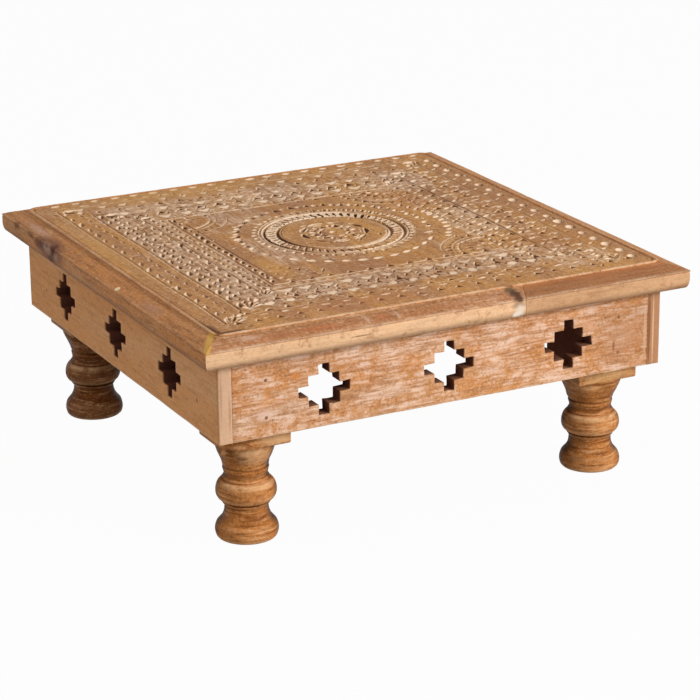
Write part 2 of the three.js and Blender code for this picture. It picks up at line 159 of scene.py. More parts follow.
def edge_vectors(piece: Piece) -> Values:
    """Measures a mesh's edges.

    Args:
        piece: The mesh object.

    Returns:
        The vector along each edge, in millimetres.
    """
    ends = np.empty(len(piece.data.edges) * 2, int)
    piece.data.edges.foreach_get("vertices", ends)
    points = points_of(piece)
    pairs = ends.reshape(-1, 2)
    return points[pairs[:, 1]] - points[pairs[:, 0]]


def new_piece(name: str) -> Piece:
    """Names the primitive just added and puts its place into its mesh.

    Args:
        name: The piece's name.

    Returns:
        The piece.
    """
    piece = bpy.context.object
    piece.name = name
    piece.data.name = name
    pick(piece)
    bpy.ops.object.transform_apply(location=True, rotation=True, scale=True)
    return piece


def add_and_apply(piece: Piece, kind: str, **settings: object) -> None:
    """Gives a piece a modifier and applies it.

    Args:
        piece: The mesh object.
        kind: Blender's name for the modifier.
        settings: The modifier's settings.
    """
    pick(piece)
    modifier = piece.modifiers.new(kind.lower(), kind)
    for name, value in settings.items():
        setattr(modifier, name, value)
    bpy.ops.object.modifier_apply(modifier=modifier.name)


def smooth(piece: Piece, degrees: float) -> None:
    """Shades a piece smooth across edges that are flatter than an angle."""
    pick(piece)
    bpy.ops.object.shade_smooth_by_angle(angle=math.radians(degrees))


def face_outwards(piece: Piece) -> None:
    """Merges a piece's doubled points and turns its faces outwards.

    Args:
        piece: The mesh object.
    """
    with editing(piece, Mode.VERTEX):
        bpy.ops.mesh.remove_doubles(threshold=0.01 * MM)
        bpy.ops.mesh.normals_make_consistent(inside=False)


def turn(piece: Piece, angle: float) -> None:
    """Turns a piece's mesh about the table's middle, in radians, anticlockwise seen from above."""
    piece.data.transform(Matrix.Rotation(angle, 4, "Z"))


def store(piece: Piece, name: str, values: Values) -> None:
    """Keeps a number at each point of a mesh, under a name, for its finish to read."""
    attribute = piece.data.attributes.new(name, "FLOAT", "POINT")
    attribute.data.foreach_set("value", values.astype(np.float32))


def lattice_noise(points: Values, cell: float | Sequence[float], seed: int) -> Values:
    """Smooth noise that is the same on every run.

    Args:
        points: One row of coordinates per point.
        cell: The size of the noise's cells, in the points' unit, or one size for each axis.
        seed: Which noise it is.

    Returns:
        One number per point, from -1 to 1.
    """
    scaled = points / np.asarray(cell, float)
    base = np.floor(scaled).astype(np.int64)
    share = scaled - base
    ease = share * share * (3 - 2 * share)
    total = np.zeros(len(points))
    for corner in itertools.product((0, 1), repeat=points.shape[1]):
        offset = np.array(corner)
        key = ((base + offset) * np.array([374761393, 668265263, 921390821])[:points.shape[1]]).sum(1)
        key = (key + seed * 69069) & 0xFFFFFFFF
        key = ((key ^ (key >> 13)) * 1274126177) & 0xFFFFFFFF
        key = key ^ (key >> 16)
        weight = np.where(offset == 1, ease, 1 - ease).prod(1)
        total += weight * ((key & 0xFFFF) / 32767.5 - 1)
    return total


def ramp(values: Values, start: float, end: float) -> Values:
    """Eases values from 0, where they are at the start or before it, to 1 at the end."""
    share = np.clip((values - start) / (end - start), 0, 1)
    return share * share * (3 - 2 * share)


def arc(middle: Point, radii: Point, start: float, end: float, steps: int) -> list[Point]:
    """Points on part of an ellipse, between two angles in degrees, with both ends included."""
    angles = np.radians(np.linspace(start, end, steps + 1))
    return [(middle[0] + radii[0] * math.cos(a), middle[1] + radii[1] * math.sin(a)) for a in angles]


def nearness(first: Values, second: Values, place: Point, spread: float) -> Values:
    """Tells how near points lie to a place in two of their coordinates: 1 at it, and 0 far away."""
    return np.exp(-((first - place[0]) ** 2 + (second - place[1]) ** 2) / spread)


# Finishes

def linear(colour: Colour) -> tuple[float, float, float, float]:
    """Turns a screen colour into the light values that a shader takes.

    Args:
        colour: Red, green and blue, from 0 to 255.

    Returns:
        Linear red, green and blue, and full opacity.
    """
    shares = [channel / 255 for channel in colour]
    values = [s / 12.92 if s <= 0.04045 else ((s + 0.055) / 1.055) ** 2.4 for s in shares]
    return (values[0], values[1], values[2], 1.0)


def add_node(tree: bpy.types.NodeTree, kind: str, **values: object) -> bpy.types.Node:
    """Adds a shader node to a tree.

    Args:
        tree: The node tree.
        kind: The node's kind.
        values: What its inputs are set to, by their names.

    Returns:
        The node.
    """
    node = tree.nodes.new(f"ShaderNode{kind}")
    for name, value in values.items():
        node.inputs[name].default_value = value
    return node


class Recipe:
    """A material under construction, with short ways to add the nodes that wood needs."""

    def __init__(self, name: str) -> None:
        """Starts an empty material with a shader and an output.

        Args:
            name: The material's name.
        """
        self.material = bpy.data.materials.new(name)
        self.material.use_nodes = True
        self.tree = self.material.node_tree
        self.tree.nodes.clear()
        self.shader = add_node(self.tree, "BsdfPrincipled")
        output = add_node(self.tree, "OutputMaterial")
        self.tree.links.new(self.shader.outputs[0], output.inputs["Surface"])
        self.place = add_node(self.tree, "TexCoord").outputs["Object"]

    def link(self, source: Socket | float | tuple, target: Socket) -> None:
        """Connects a socket, or sets its value.

        Args:
            source: An output socket, a number or a tuple.
            target: The input socket.
        """
        if isinstance(source, Socket):
            self.tree.links.new(source, target)
        else:
            target.default_value = source

    def mapped(self, stretch: Triple, shift: Triple = (0, 0, 0)) -> Socket:
        """The place on the piece in millimetres, stretched and moved.

        Args:
            stretch: How many millimetres make one unit, along each axis.
            shift: Moves the pattern, in its own units.

        Returns:
            The vector.
        """
        node = add_node(self.tree, "Mapping", Scale=[1 / (MM * s) for s in stretch], Location=shift)
        self.link(self.place, node.inputs["Vector"])
        return node.outputs["Vector"]

    def noise(self, vector: Socket, detail: float = 4, rough: float = 0.55, warp: float = 0) -> Socket:
        """Cloudy noise.

        Args:
            vector: Where it is read.
            detail: How many finer layers it has.
            rough: How strong the finer layers are.
            warp: How far it is bent by itself.

        Returns:
            A number about a half.
        """
        node = add_node(self.tree, "TexNoise", Scale=1, Detail=detail, Roughness=rough, Distortion=warp)
        self.link(vector, node.inputs["Vector"])
        return node.outputs["Fac"]

    def math(self, operation: str, first: Socket | float, second: Socket | float = 0) -> Socket:
        """Sums on numbers.

        Args:
            operation: Blender's name for the sum.
            first: The first number.
            second: The second number.

        Returns:
            The result.
        """
        node = add_node(self.tree, "Math")
        node.operation = operation
        self.link(first, node.inputs[0])
        self.link(second, node.inputs[1])
        return node.outputs[0]

    def times(self, first: Socket, second: Socket | float) -> Socket:
        """Multiplies two numbers."""
        return self.math("MULTIPLY", first, second)

    def plus(self, first: Socket, second: Socket | float) -> Socket:
        """Adds two numbers."""
        return self.math("ADD", first, second)

    def between(self, value: Socket, low: float, high: float, start: float = 0, end: float = 1) -> Socket:
        """Maps a range of a number to another range, and holds it at the ends.

        Args:
            value: The number.
            low: Where the range starts.
            high: Where it ends.
            start: What the start becomes.
            end: What the end becomes.

        Returns:
            The mapped number.
        """
        ends = {"From Min": low, "From Max": high, "To Min": start, "To Max": end}
        node = add_node(self.tree, "MapRange", **ends)
        node.interpolation_type = "SMOOTHSTEP"
        self.link(value, node.inputs["Value"])
        return node.outputs["Result"]

    def blend(self, share: Socket | float, first: Socket | Colour, second: Socket | Colour) -> Socket:
        """Mixes two colours.

        Args:
            share: How much of the second shows, from 0 to 1.
            first: A colour, or a socket that gives one.
            second: Another.

        Returns:
            The mixed colour.
        """
        node = add_node(self.tree, "Mix")
        node.data_type = "RGBA"
        self.link(share, node.inputs["Factor"])
        for source, name in ((first, "A"), (second, "B")):
            sockets = [s for s in node.inputs if s.name == name and s.type == "RGBA"]
            self.link(source if isinstance(source, Socket) else linear(source), sockets[0])
        return next(s for s in node.outputs if s.type == "RGBA")

    def stored(self, name: str) -> Socket:
        """Reads a number that is kept on the mesh.

        Args:
            name: The attribute's name.

        Returns:
            The number.
        """
        node = add_node(self.tree, "Attribute")
        node.attribute_name = name
        return node.outputs["Fac"]

    def spot(self, middle: Triple, radii: Triple, edge: float = 0.35, ragged: float = 0.25) -> Socket:
        """A blot with a ragged edge.

        Args:
            middle: Its middle, in millimetres.
            radii: Its three radii, in millimetres.
            edge: How soft its edge is, as a share of its radius.
            ragged: How uneven its edge is, as a share of its radius.

        Returns:
            1 inside and 0 outside.
        """
        node = add_node(
            self.tree, "Mapping", Location=[c * MM for c in middle], Scale=[r * MM for r in radii])
        node.vector_type = "TEXTURE"
        self.link(self.place, node.inputs["Vector"])
        length = add_node(self.tree, "VectorMath")
        length.operation = "LENGTH"
        self.link(node.outputs["Vector"], length.inputs[0])
        uneven = self.noise(self.mapped((3, 3, 3)), detail=3)
        reach = self.plus(length.outputs["Value"], self.times(uneven, 2 * ragged))
        return self.between(reach, 1 + ragged - edge, 1 + ragged, 1, 0)

    def bump(self, height: Socket, depth: float, strength: float = 1) -> None:
        """Roughens the surface.

        Args:
            height: The height, from 0 to 1.
            depth: What a height of 1 stands for, in millimetres.
            strength: How much of it is felt.
        """
        node = add_node(self.tree, "Bump", Strength=strength, Distance=depth * MM)
        self.link(height, node.inputs["Height"])
        self.link(node.outputs["Normal"], self.shader.inputs["Normal"])


@dataclass(frozen=True)
class Blot:
    """A knot, plug or patch of filler in the wood."""

    middle: Triple
    radii: Triple
    colour: Colour
    strength: float = 1.0
    edge: float = 0.35
    ragged: float = 0.25


class Marks(Enum):
    """What a piece's mesh holds for its finish, as numbers from -1 to 1 at each point."""

    WEAR = "wear"
    TONE = "tone"
    CHALK = "chalk"
    BARE = "bare"
    HOLLOW = "hollow"


@dataclass(frozen=True)
class WornWood:
    """Old mango wood under what is left of a coat of limewash.

    The grain runs along one axis. The mesh may hold more for it: the wear mark is above 0 on a rubbed edge
    and on a painted highlight, and below 0 in a dirty corner and in painted shade; "tone" is above 0 where a
    cut shows pale and below 0 where it shows dark, partly painted light and shade; "chalk" is where limewash
    has stayed, "bare" is where the wood is sanded pale, and the inner shade mark is painted shade: how far
    a surface lies inside the table, which is painted darker and given no shine.
    """

    name: str
    grain: Triple
    body: Colour
    dark: Colour
    warm: Colour
    wash: Colour
    pale: Colour = (238, 208, 176)
    shade: Colour = (88, 54, 32)
    bare: Colour = (222, 182, 142)
    # The colour of the painted shade on surfaces inside the table.
    inside: Colour = (112, 70, 56)
    wash_cover: float = 0.5
    streaks: float = 0.6
    mottle: float = 0.6
    relief: float = 0.6
    marks: tuple[Marks, ...] = (Marks.WEAR,)
    blots: tuple[Blot, ...] = ()
    seed: float = 0
    roughness: float = 0.66
    shine: float = 0.08
    turned: bool = False

    def make(self) -> Material:
        """Builds the material.

        Returns:
            The material.
        """
        mix = Recipe(self.name)
        away = (self.seed, self.seed * 1.7, self.seed * 0.6)
        broad = mix.noise(mix.mapped(tuple(9 * g for g in self.grain), away), detail=3, warp=0.5)
        streak = mix.noise(mix.mapped(self.grain, away), detail=5, rough=0.65, warp=0.5)
        fine = mix.noise(mix.mapped(tuple(0.5 * g for g in self.grain), away), detail=3, rough=0.6)
        cloud = mix.noise(mix.mapped((30, 30, 26), away), detail=4, rough=0.65)
        patch = mix.noise(mix.mapped((8, 8, 7), away), detail=5, rough=0.7, warp=0.6)
        speck = mix.noise(mix.mapped((2.6, 2.6, 2.3), away), detail=4, rough=0.75)
        colour = mix.blend(mix.between(broad, 0.4, 0.6), self.body, self.warm)
        grainy = 1.0
        if Marks.BARE in self.marks:
            sanded = mix.times(mix.stored("bare"), mix.between(patch, 0.28, 0.55, 0.55, 1))
            colour = mix.blend(sanded, colour, self.bare)
            grainy = mix.between(mix.stored("bare"), 0.2, 0.9, 1, 0.35)
        lines = mix.times(mix.between(streak, 0.47, 0.64), self.streaks)
        colour = mix.blend(mix.times(lines, grainy), colour, self.dark)
        pores = mix.times(mix.between(fine, 0.54, 0.68), 0.5 * self.streaks)
        pores = mix.times(pores, grainy)
        colour = mix.blend(pores, colour, self.shade)
        stain = mix.times(mix.between(patch, 0.47, 0.34), 0.55 * self.mottle)
        colour = mix.blend(stain, colour, self.dark)
        colour = self.limewash(mix, colour, cloud, patch, mix.plus(fine, streak))
        pale = mix.times(mix.between(speck, 0.53, 0.66), 0.6 * self.mottle)
        colour = mix.blend(pale, colour, self.pale)
        darkened = mix.times(mix.between(speck, 0.46, 0.34), 0.75 * self.mottle)
        darkened = mix.times(darkened, grainy)
        colour = mix.blend(darkened, colour, self.shade)
        height = mix.plus(mix.times(streak, 0.8), mix.times(speck, 0.6))
        height = mix.plus(height, mix.times(fine, 0.3))
        if self.turned:
            lathe = mix.noise(mix.mapped((26, 26, 2.4), away), detail=4, rough=0.65, warp=0.4)
            rings = mix.times(mix.between(lathe, 0.5, 0.64), 0.7)
            colour = mix.blend(rings, colour, self.dark)
            gleam = mix.times(mix.between(lathe, 0.46, 0.34), 0.5)
            colour = mix.blend(gleam, colour, self.pale)
            height = mix.plus(height, lathe)
        colour = self.handled(mix, colour, patch)
        for blot in self.blots:
            share = mix.spot(blot.middle, blot.radii, blot.edge, blot.ragged)
            colour = mix.blend(mix.times(share, blot.strength), colour, blot.colour)
        gloss = mix.shader.inputs["Specular IOR Level"]
        gloss.default_value = self.shine
        # Painted shade inside the table: a darker colour, and no shine.
        if Marks.HOLLOW in self.marks:
            colour = mix.blend(mix.stored("hollow"), colour, self.inside)
            mix.link(mix.between(mix.stored("hollow"), 0, 1, self.shine, 0), gloss)
        mix.link(colour, mix.shader.inputs["Base Color"])
        rough = mix.between(patch, 0.3, 0.7, self.roughness - 0.12, self.roughness + 0.12)
        mix.link(rough, mix.shader.inputs["Roughness"])
        mix.bump(height, self.relief, 0.9)
        return mix.material

    def limewash(self, mix: Recipe, colour: Socket, cloud: Socket, patch: Socket, grain: Socket) -> Socket:
        """Lays what is left of the limewash, which stays in clouds and is scraped off along the grain.

        Args:
            mix: The material so far.
            colour: Its colour so far.
            cloud: Broad noise.
            patch: Finer noise.
            grain: Two layers of grain, added up.

        Returns:
            The new colour.
        """
        covered = mix.plus(mix.times(cloud, 0.55), mix.times(patch, 0.45))
        if Marks.CHALK in self.marks:
            covered = mix.plus(covered, mix.times(mix.stored("chalk"), 0.34))
        low = 0.64 - 0.32 * self.wash_cover
        scraped = mix.between(grain, 0.8, 1.14, 1, 0.12)
        cover = mix.times(mix.between(covered, low, low + 0.12), scraped)
        return mix.blend(mix.times(cover, 0.8), colour, self.wash)

    def handled(self, mix: Recipe, colour: Socket, patch: Socket) -> Socket:
        """Lightens rubbed edges, pale cuts and painted highlights; darkens dirty corners, deep cuts and
        painted shade.

        Args:
            mix: The material so far.
            colour: Its colour so far.
            patch: Noise that breaks the wear up.

        Returns:
            The new colour.
        """
        uneven = mix.between(patch, 0.34, 0.58, 0.35, 1)
        # Both marks hold painted light and shade as well as wear and the tones of the cuts: above 0 they
        # blend towards pale, below 0 towards the shade colour.
        for mark in (Marks.WEAR, Marks.TONE):
            if mark in self.marks:
                value = mix.stored(mark.value)
                bright = mix.times(mix.math("MAXIMUM", value, 0), uneven)
                colour = mix.blend(mix.math("MINIMUM", bright, 0.9), colour, self.pale)
                darkened = mix.times(mix.math("MINIMUM", value, 0), -0.95)
                colour = mix.blend(mix.math("MINIMUM", darkened, 0.95), colour, self.shade)
        return colour


@dataclass(frozen=True)
class DarkIron:
    """Old cut iron, rusty in patches."""

    name: str = "dark_iron"
    metal: Colour = (112, 78, 52)
    rust: Colour = (146, 98, 62)
    roughness: float = 0.6
    metallic: float = 0.2

    def make(self) -> Material:
        """Builds the material.

        Returns:
            The material.
        """
        mix = Recipe(self.name)
        rusty = mix.noise(mix.mapped((1.5, 1.5, 1.5)), detail=4)
        colour = mix.blend(mix.between(rusty, 0.4, 0.6), self.metal, self.rust)
        mix.link(colour, mix.shader.inputs["Base Color"])
        mix.shader.inputs["Roughness"].default_value = self.roughness
        mix.shader.inputs["Metallic"].default_value = self.metallic
        mix.bump(rusty, 0.3)
        return mix.material


def dress(piece: Piece, material: Material, nodes: Sequence[str] = ()) -> None:
    """Gives a piece its finish and ties it to the table.

    Args:
        piece: The piece.
        material: Its finish.
        nodes: The CAD nodes that it stands for.
    """
    piece.data.materials.clear()
    piece.data.materials.append(material)
    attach(piece, BODY)
    if nodes:
        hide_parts(*nodes)
    log.info("%s: %d faces", piece.name, len(piece.data.polygons))


# Carving

class Cut(Enum):
    """The shape of a chip: how it was cut."""

    NOTCH = "three-sided, deepest at its point"
    GOUGE = "an oval bowl"
    VEE = "a lens-shaped cut with a sharp bottom"


@dataclass(frozen=True)
class Chip:
    """One cut into the top. The heading is the direction that its length or point runs in."""

    x: float
    y: float
    heading: float
    length: float
    width: float
    depth: float
    cut: Cut
    # Above 0 paler, below 0 darker: partly the fresh cut's colour, partly painted light and shade by how its
    # facets face the key light.
    tone: float

    def depth_at(self, along: Values, across: Values) -> Values:
        """How deep the cut goes.

        Args:
            along: Distances from its middle along its heading.
            across: Distances from its middle to its left.

        Returns:
            Depths in millimetres, 0 outside the cut.
        """
        half = self.length / 2
        if self.cut is Cut.GOUGE:
            inside = 1 - (along / half) ** 2 - (across / (self.width / 2)) ** 2
            return self.depth * np.sqrt(np.clip(inside, 0, 1))
        if self.cut is Cut.VEE:
            reach = self.width / 2 * np.clip(1 - (along / half) ** 2, 0, 1)
            return self.depth * np.clip(1 - np.abs(across) / np.maximum(reach, 0.01), 0, 1)
        share = (along + half) / self.length
        flank = (1 - share) * self.width / 2 - np.abs(across)
        wall = np.clip(flank / (0.14 * self.width), 0, 1)
        return np.where((share > 0) & (share < 1), self.depth * np.minimum(share * 1.15, wall), 0)


@dataclass(frozen=True)
class ChipRow:
    """A straight row of chips beside one side of the table."""

    side: Side
    distance: float
    pitch: float
    start: float
    reach: float
    length: float
    width: float
    depth: float
    cut: Cut
    tone: float
    swing: float = 0.0

    def chips(self, rng: np.random.Generator) -> Iterator[Chip]:
        """The row's chips, each a little off its mark.

        Args:
            rng: The source of chance.

        Yields:
            The chips.
        """
        first = math.ceil((-self.reach - self.start) / self.pitch)
        last = math.floor((self.reach - self.start) / self.pitch)
        cos, sin = math.cos(self.side.angle), math.sin(self.side.angle)
        for index in range(first, last + 1):
            along = self.start + index * self.pitch + rng.normal(0, 0.5)
            out = -self.distance + rng.normal(0, 0.35)
            size = 1 + rng.normal(0, 0.12)
            heading = self.side.angle - QUARTER + self.swing + rng.normal(0, 0.09)
            yield Chip(
                along * cos - out * sin, along * sin + out * cos, heading,
                self.length * size, self.width * size, self.depth * size, self.cut,
                self.tone * (1 + rng.normal(0, 0.3)),
            )


@dataclass(frozen=True)
class ChipRing:
    """Chips at even steps round a middle, over all or part of a circle."""

    middle: Point
    radius: float
    count: int
    length: float
    width: float
    depth: float
    cut: Cut
    tone: float
    slant: float = 0.0
    start: float = 0.0
    end: float = 360.0

    def chips(self, rng: np.random.Generator) -> Iterator[Chip]:
        """The ring's chips.

        Args:
            rng: The source of chance.

        Yields:
            The chips.
        """
        step = (self.end - self.start) / self.count
        for index in range(self.count):
            angle = math.radians(self.start + (index + 0.5) * step + rng.normal(0, 0.05 * step))
            radius = self.radius + rng.normal(0, 0.3)
            size = 1 + rng.normal(0, 0.1)
            yield Chip(
                self.middle[0] + radius * math.cos(angle), self.middle[1] + radius * math.sin(angle),
                angle + self.slant, self.length * size, self.width * size, self.depth * size, self.cut,
                self.tone * (1 + rng.normal(0, 0.25)),
            )


@dataclass(frozen=True)
class RingGroove:
    """A groove round a middle. Part of a circle narrows to nothing at its ends, as a crescent does."""

    middle: Point
    radius: float
    width: float
    depth: float
    tone: float
    start: float = 0.0
    end: float = 360.0
    # Where round the ring the groove is painted darkest as shade, in degrees; the swing is how strong this
    # painted light and shade is.
    shaded_side: float = 200.0
    swing: float = 0.0

    def depth_at(self, x: Values, y: Values) -> Values:
        """How deep the groove goes.

        Args:
            x: Places along X.
            y: Places along Y.

        Returns:
            Depths in millimetres, 0 outside the groove.
        """
        away = np.abs(np.hypot(x - self.middle[0], y - self.middle[1]) - self.radius)
        width = np.full_like(away, self.width)
        if self.end - self.start < 360:
            angle = np.degrees(np.arctan2(y - self.middle[1], x - self.middle[0]))
            share = ((angle - self.start) % 360) / (self.end - self.start)
            width *= np.clip(1 - (2 * share - 1) ** 2, 0, 1) * (share < 1)
        return self.depth * np.clip(1 - 2 * away / np.maximum(width, 0.01), 0, 1)

    def tone_at(self, x: Values, y: Values) -> Values:
        """How pale or dark the groove is at places on the top, with painted light and shade that change round
        it.
        """
        angle = np.arctan2(y - self.middle[1], x - self.middle[0]) - math.radians(self.shaded_side)
        return self.tone - self.swing * np.cos(angle)


@dataclass(frozen=True)
class StraightGroove:
    """A groove along one side of the panel."""

    side: Side
    distance: float
    reach: float
    width: float
    depth: float
    tone: float

    def depth_at(self, x: Values, y: Values) -> Values:
        """How deep the groove goes.

        Args:
            x: Places along X.
            y: Places along Y.

        Returns:
            Depths in millimetres, 0 outside the groove.
        """
        cos, sin = math.cos(self.side.angle), math.sin(self.side.angle)
        out = x * sin - y * cos
        along = x * cos + y * sin
        wander = 0.5 * np.sin(along / 23 + self.distance)
        width = self.width * ramp(self.reach - np.abs(along), 0, 6)
        away = np.abs(out - self.distance - wander)
        return self.depth * np.clip(1 - 2 * away / np.maximum(width, 0.01), 0, 1)

    def tone_at(self, x: Values, y: Values) -> Values:
        """How pale or dark the groove is at places on the top."""
        return np.full_like(x, self.tone)


@dataclass(frozen=True)
class Patch:
    """A soft round-edged area of the top, such as one that has kept its limewash."""

    x: float
    y: float
    half_x: float
    half_y: float
    strength: float

    def cover(self, x: Values, y: Values) -> Values:
        """How much of the patch lies at each place, from 0 to its strength."""
        reach = np.maximum(np.abs(x - self.x) / self.half_x, np.abs(y - self.y) / self.half_y)
        return self.strength * ramp(-reach, -1.25, -0.65)


def soften(grid: Values, passes: int) -> Values:
    """Blurs a grid of numbers a little, as many times as told.

    Args:
        grid: The grid.
        passes: How many times it is blurred.

    Returns:
        The blurred grid.
    """
    for _ in range(passes):
        padded = np.pad(grid, 1, mode="edge")
        grid = (2 * padded[1:-1, 1:-1] + padded[:-2, 1:-1] + padded[2:, 1:-1]
                + padded[1:-1, :-2] + padded[1:-1, 2:]) / 6
    return grid


@dataclass
class CarvedTop:
    """The planks, and the chip carving that runs across them."""

    half: float = 203.7
    top: float = 191.0
    underside: float = 177.0
    count: int = 4
    gap: float = 0.08
    spacing: float = 0.72
    corner_radius: float = 10.0
    corner_drop: float = 1.0
    middle: Point = (4.0, 4.5)
    inner_square: float = 110.5
    ring_field: float = 64.0
    petals: int = 9
    slip_count: int = 320
    slip_reach: float = 198.0
    shading: float = 50.0
    seed: int = 11
    chips: list[Chip] = field(default_factory=list)
    grooves: list[RingGroove | StraightGroove] = field(default_factory=list)

    def draw(self) -> None:
        """Lays out the pattern."""
        rng = np.random.default_rng(self.seed)
        for part in [*self.bands(), *self.infill(), *self.medallion(), *self.fans()]:
            self.chips.extend(part.chips(rng))
        self.chips.extend(self.corner_leaves())
        self.chips.extend(self.slips(rng))
        self.grooves = [*self.rings(), *self.lines()]

    @staticmethod
    def rows(sides: dict[Side, tuple]) -> list[ChipRow]:
        """Makes rows of chips, each told by its distance, pitch, start, reach, size, cut and tone."""
        return [ChipRow(side, *row) for side, rows in sides.items() for row in rows]

    def bands(self) -> list[ChipRow]:
        """The main rows along the four sides.

        Returns:
            The rows.
        """
        notch, gouge, vee = Cut.NOTCH, Cut.GOUGE, Cut.VEE
        inward = math.pi
        # The tones give painted light to chips whose facets face the key light and painted shade to those
        # that face away.
        return self.rows({
            Side.FRONT: (
                (186, 18.3, 4, 190, 6, 7, 1.6, notch, -0.9, inward),
                (166, 18.6, 6, 165, 5, 7, 1.4, notch, -0.7, inward),
                (153.5, 18.9, -1.5, 156, 8.8, 14.5, 2.3, notch, 1.4),
                (142, 18.9, 8, 140, 8, 8, 1.9, notch, -1, inward),
                (129.5, 18.6, 5, 126, 8.8, 14.5, 2.3, notch, 1.4),
                (107, 18.5, 0, 104, 6, 7, 1.5, notch, -1, inward),
            ),
            Side.BACK: (
                (200, 19.6, 5, 195, 5, 9, 1.5, gouge, 0.9),
                (176.5, 20.2, 3.5, 182, 8, 10, 2, notch, 1.3, inward),
                (166, 20.2, 13, 165, 6, 6, 1.6, notch, -0.8),
                (148, 19, 1.5, 152, 8.8, 12, 2.1, notch, 1.3, inward),
                (137.5, 19.2, 9, 142, 7, 7, 1.7, notch, -1),
                (122, 19.2, 8, 122, 8.8, 12, 2, notch, 1.3, inward),
                (108, 18.5, 0, 104, 5, 6, 1.4, notch, -0.6),
            ),
            Side.LEFT: (
                (183, 19.3, 2, 186, 10, 4.4, 1.5, vee, 0.5, QUARTER - 0.25),
                (158, 19.4, 8, 160, 10.5, 4.8, 1.7, vee, 0.1, QUARTER - 0.25),
                (144, 19.4, -1, 146, 9.5, 4.2, 1.5, vee, 0.3, QUARTER - 0.3),
                (131, 19.8, 7, 134, 10.5, 4.8, 1.7, vee, 0.1, QUARTER - 0.25),
                (106, 12, 4, 104, 8.5, 4.6, 1.8, vee, -0.1, QUARTER - 0.2),
            ),
            Side.RIGHT: (
                (193.5, 20, -4, 190, 7, 9, 1.8, gouge, 1.1),
                (173, 19.6, 4, 172, 7, 9, 1.9, notch, 1.2),
                (161, 19.6, 10, 162, 7, 8, 2, notch, -1, inward),
                (147, 19.5, 2, 146, 9, 4.4, 1.8, vee, 0.6, 0.6),
                (135.5, 20.2, 4, 136, 7.5, 8.5, 2.1, notch, -1.2, inward),
                (119, 19.5, 6, 122, 6.5, 7, 1.9, notch, -1, inward),
                (107, 18.5, 0, 104, 6, 6, 1.4, notch, 0.7),
            ),
        })

    def infill(self) -> list[ChipRow]:
        """The small cuts that fill the bands between the main rows.

        Returns:
            The rows.
        """
        vee = Cut.VEE
        return self.rows({
            Side.FRONT: (
                (176, 18.3, -4, 180, 8, 2.6, 0.9, vee, 0.2, QUARTER),
                (147.5, 9.45, 3, 140, 7, 2.8, 1.4, vee, -0.2, 0.5),
                (136, 9.3, 0, 130, 6, 2.8, 1.3, vee, -0.2, -0.5),
                (115.5, 9.3, 4, 118, 6, 2.6, 1.1, vee, 0, 1.2),
            ),
            Side.BACK: (
                (190, 20.2, -5, 190, 8, 2.4, 1, vee, -0.2, QUARTER),
                (160, 9.5, 2, 158, 6, 2.6, 1.2, vee, 0.2, 0.6),
                (133, 9.6, 4, 134, 6, 2.6, 1.2, vee, -0.2, -0.6),
                (116, 9.6, 2, 118, 5, 2.4, 1, vee, 0.1, 0.4),
            ),
            Side.LEFT: (
                (172, 19.3, -6, 174, 8, 2.6, 0.9, vee, 0.2, QUARTER),
                (151, 9.7, 3, 152, 6.5, 3.4, 1.6, vee, -0.2, QUARTER - 0.5),
                (137.5, 9.7, 0, 140, 6, 3.2, 1.4, vee, 0, QUARTER + 0.5),
                (122, 9.9, 5, 126, 7, 3.4, 1.5, vee, 0, QUARTER),
                (115, 9.9, 0, 116, 6, 2.6, 1.1, vee, 0.2, QUARTER),
            ),
            Side.RIGHT: (
                (184, 20, 6, 184, 6, 3, 1.3, vee, -0.4, 0.4),
                (167, 9.8, 4, 168, 5.5, 2.8, 1.3, vee, -0.2, 0.4),
                (154, 9.8, 1, 154, 6, 3, 1.4, vee, 0.2, -0.5),
                (128, 9.9, 2, 130, 6, 3.2, 1.5, vee, 0.2, 0.4),
                (113, 9.3, 3, 112, 5, 2.8, 1.2, vee, -0.2, 0.5),
            ),
        })

    def lines(self) -> list[StraightGroove]:
        """The straight lines beside the rows.

        Returns:
            The grooves.
        """
        square = self.inner_square
        return [
            *(StraightGroove(side, square, square + 1, 2.6, 0.7, 0.2) for side in Side),
            StraightGroove(Side.LEFT, 187.8, 186, 2.4, 0.9, 0.5),
            StraightGroove(Side.LEFT, 163, 160, 2.4, 0.9, 0.5),
            StraightGroove(Side.LEFT, 129, 132, 2.4, 0.9, 0.5),
            StraightGroove(Side.LEFT, 101.5, 98, 2, 0.6, 0.2),
            StraightGroove(Side.FRONT, 118.5, 124, 1.6, 0.6, 0.5),
            StraightGroove(Side.FRONT, 143.5, 146, 1.6, 0.6, -0.4),
            StraightGroove(Side.FRONT, 170, 168, 1.6, 0.5, -0.3),
            StraightGroove(Side.RIGHT, 178.5, 178, 1.6, 0.5, 0.3),
            StraightGroove(Side.RIGHT, 141, 140, 1.6, 0.6, -0.4),
            StraightGroove(Side.BACK, 185, 182, 1.6, 0.5, 0.3),
            StraightGroove(Side.BACK, 144.5, 144, 1.6, 0.6, -0.4),
        ]

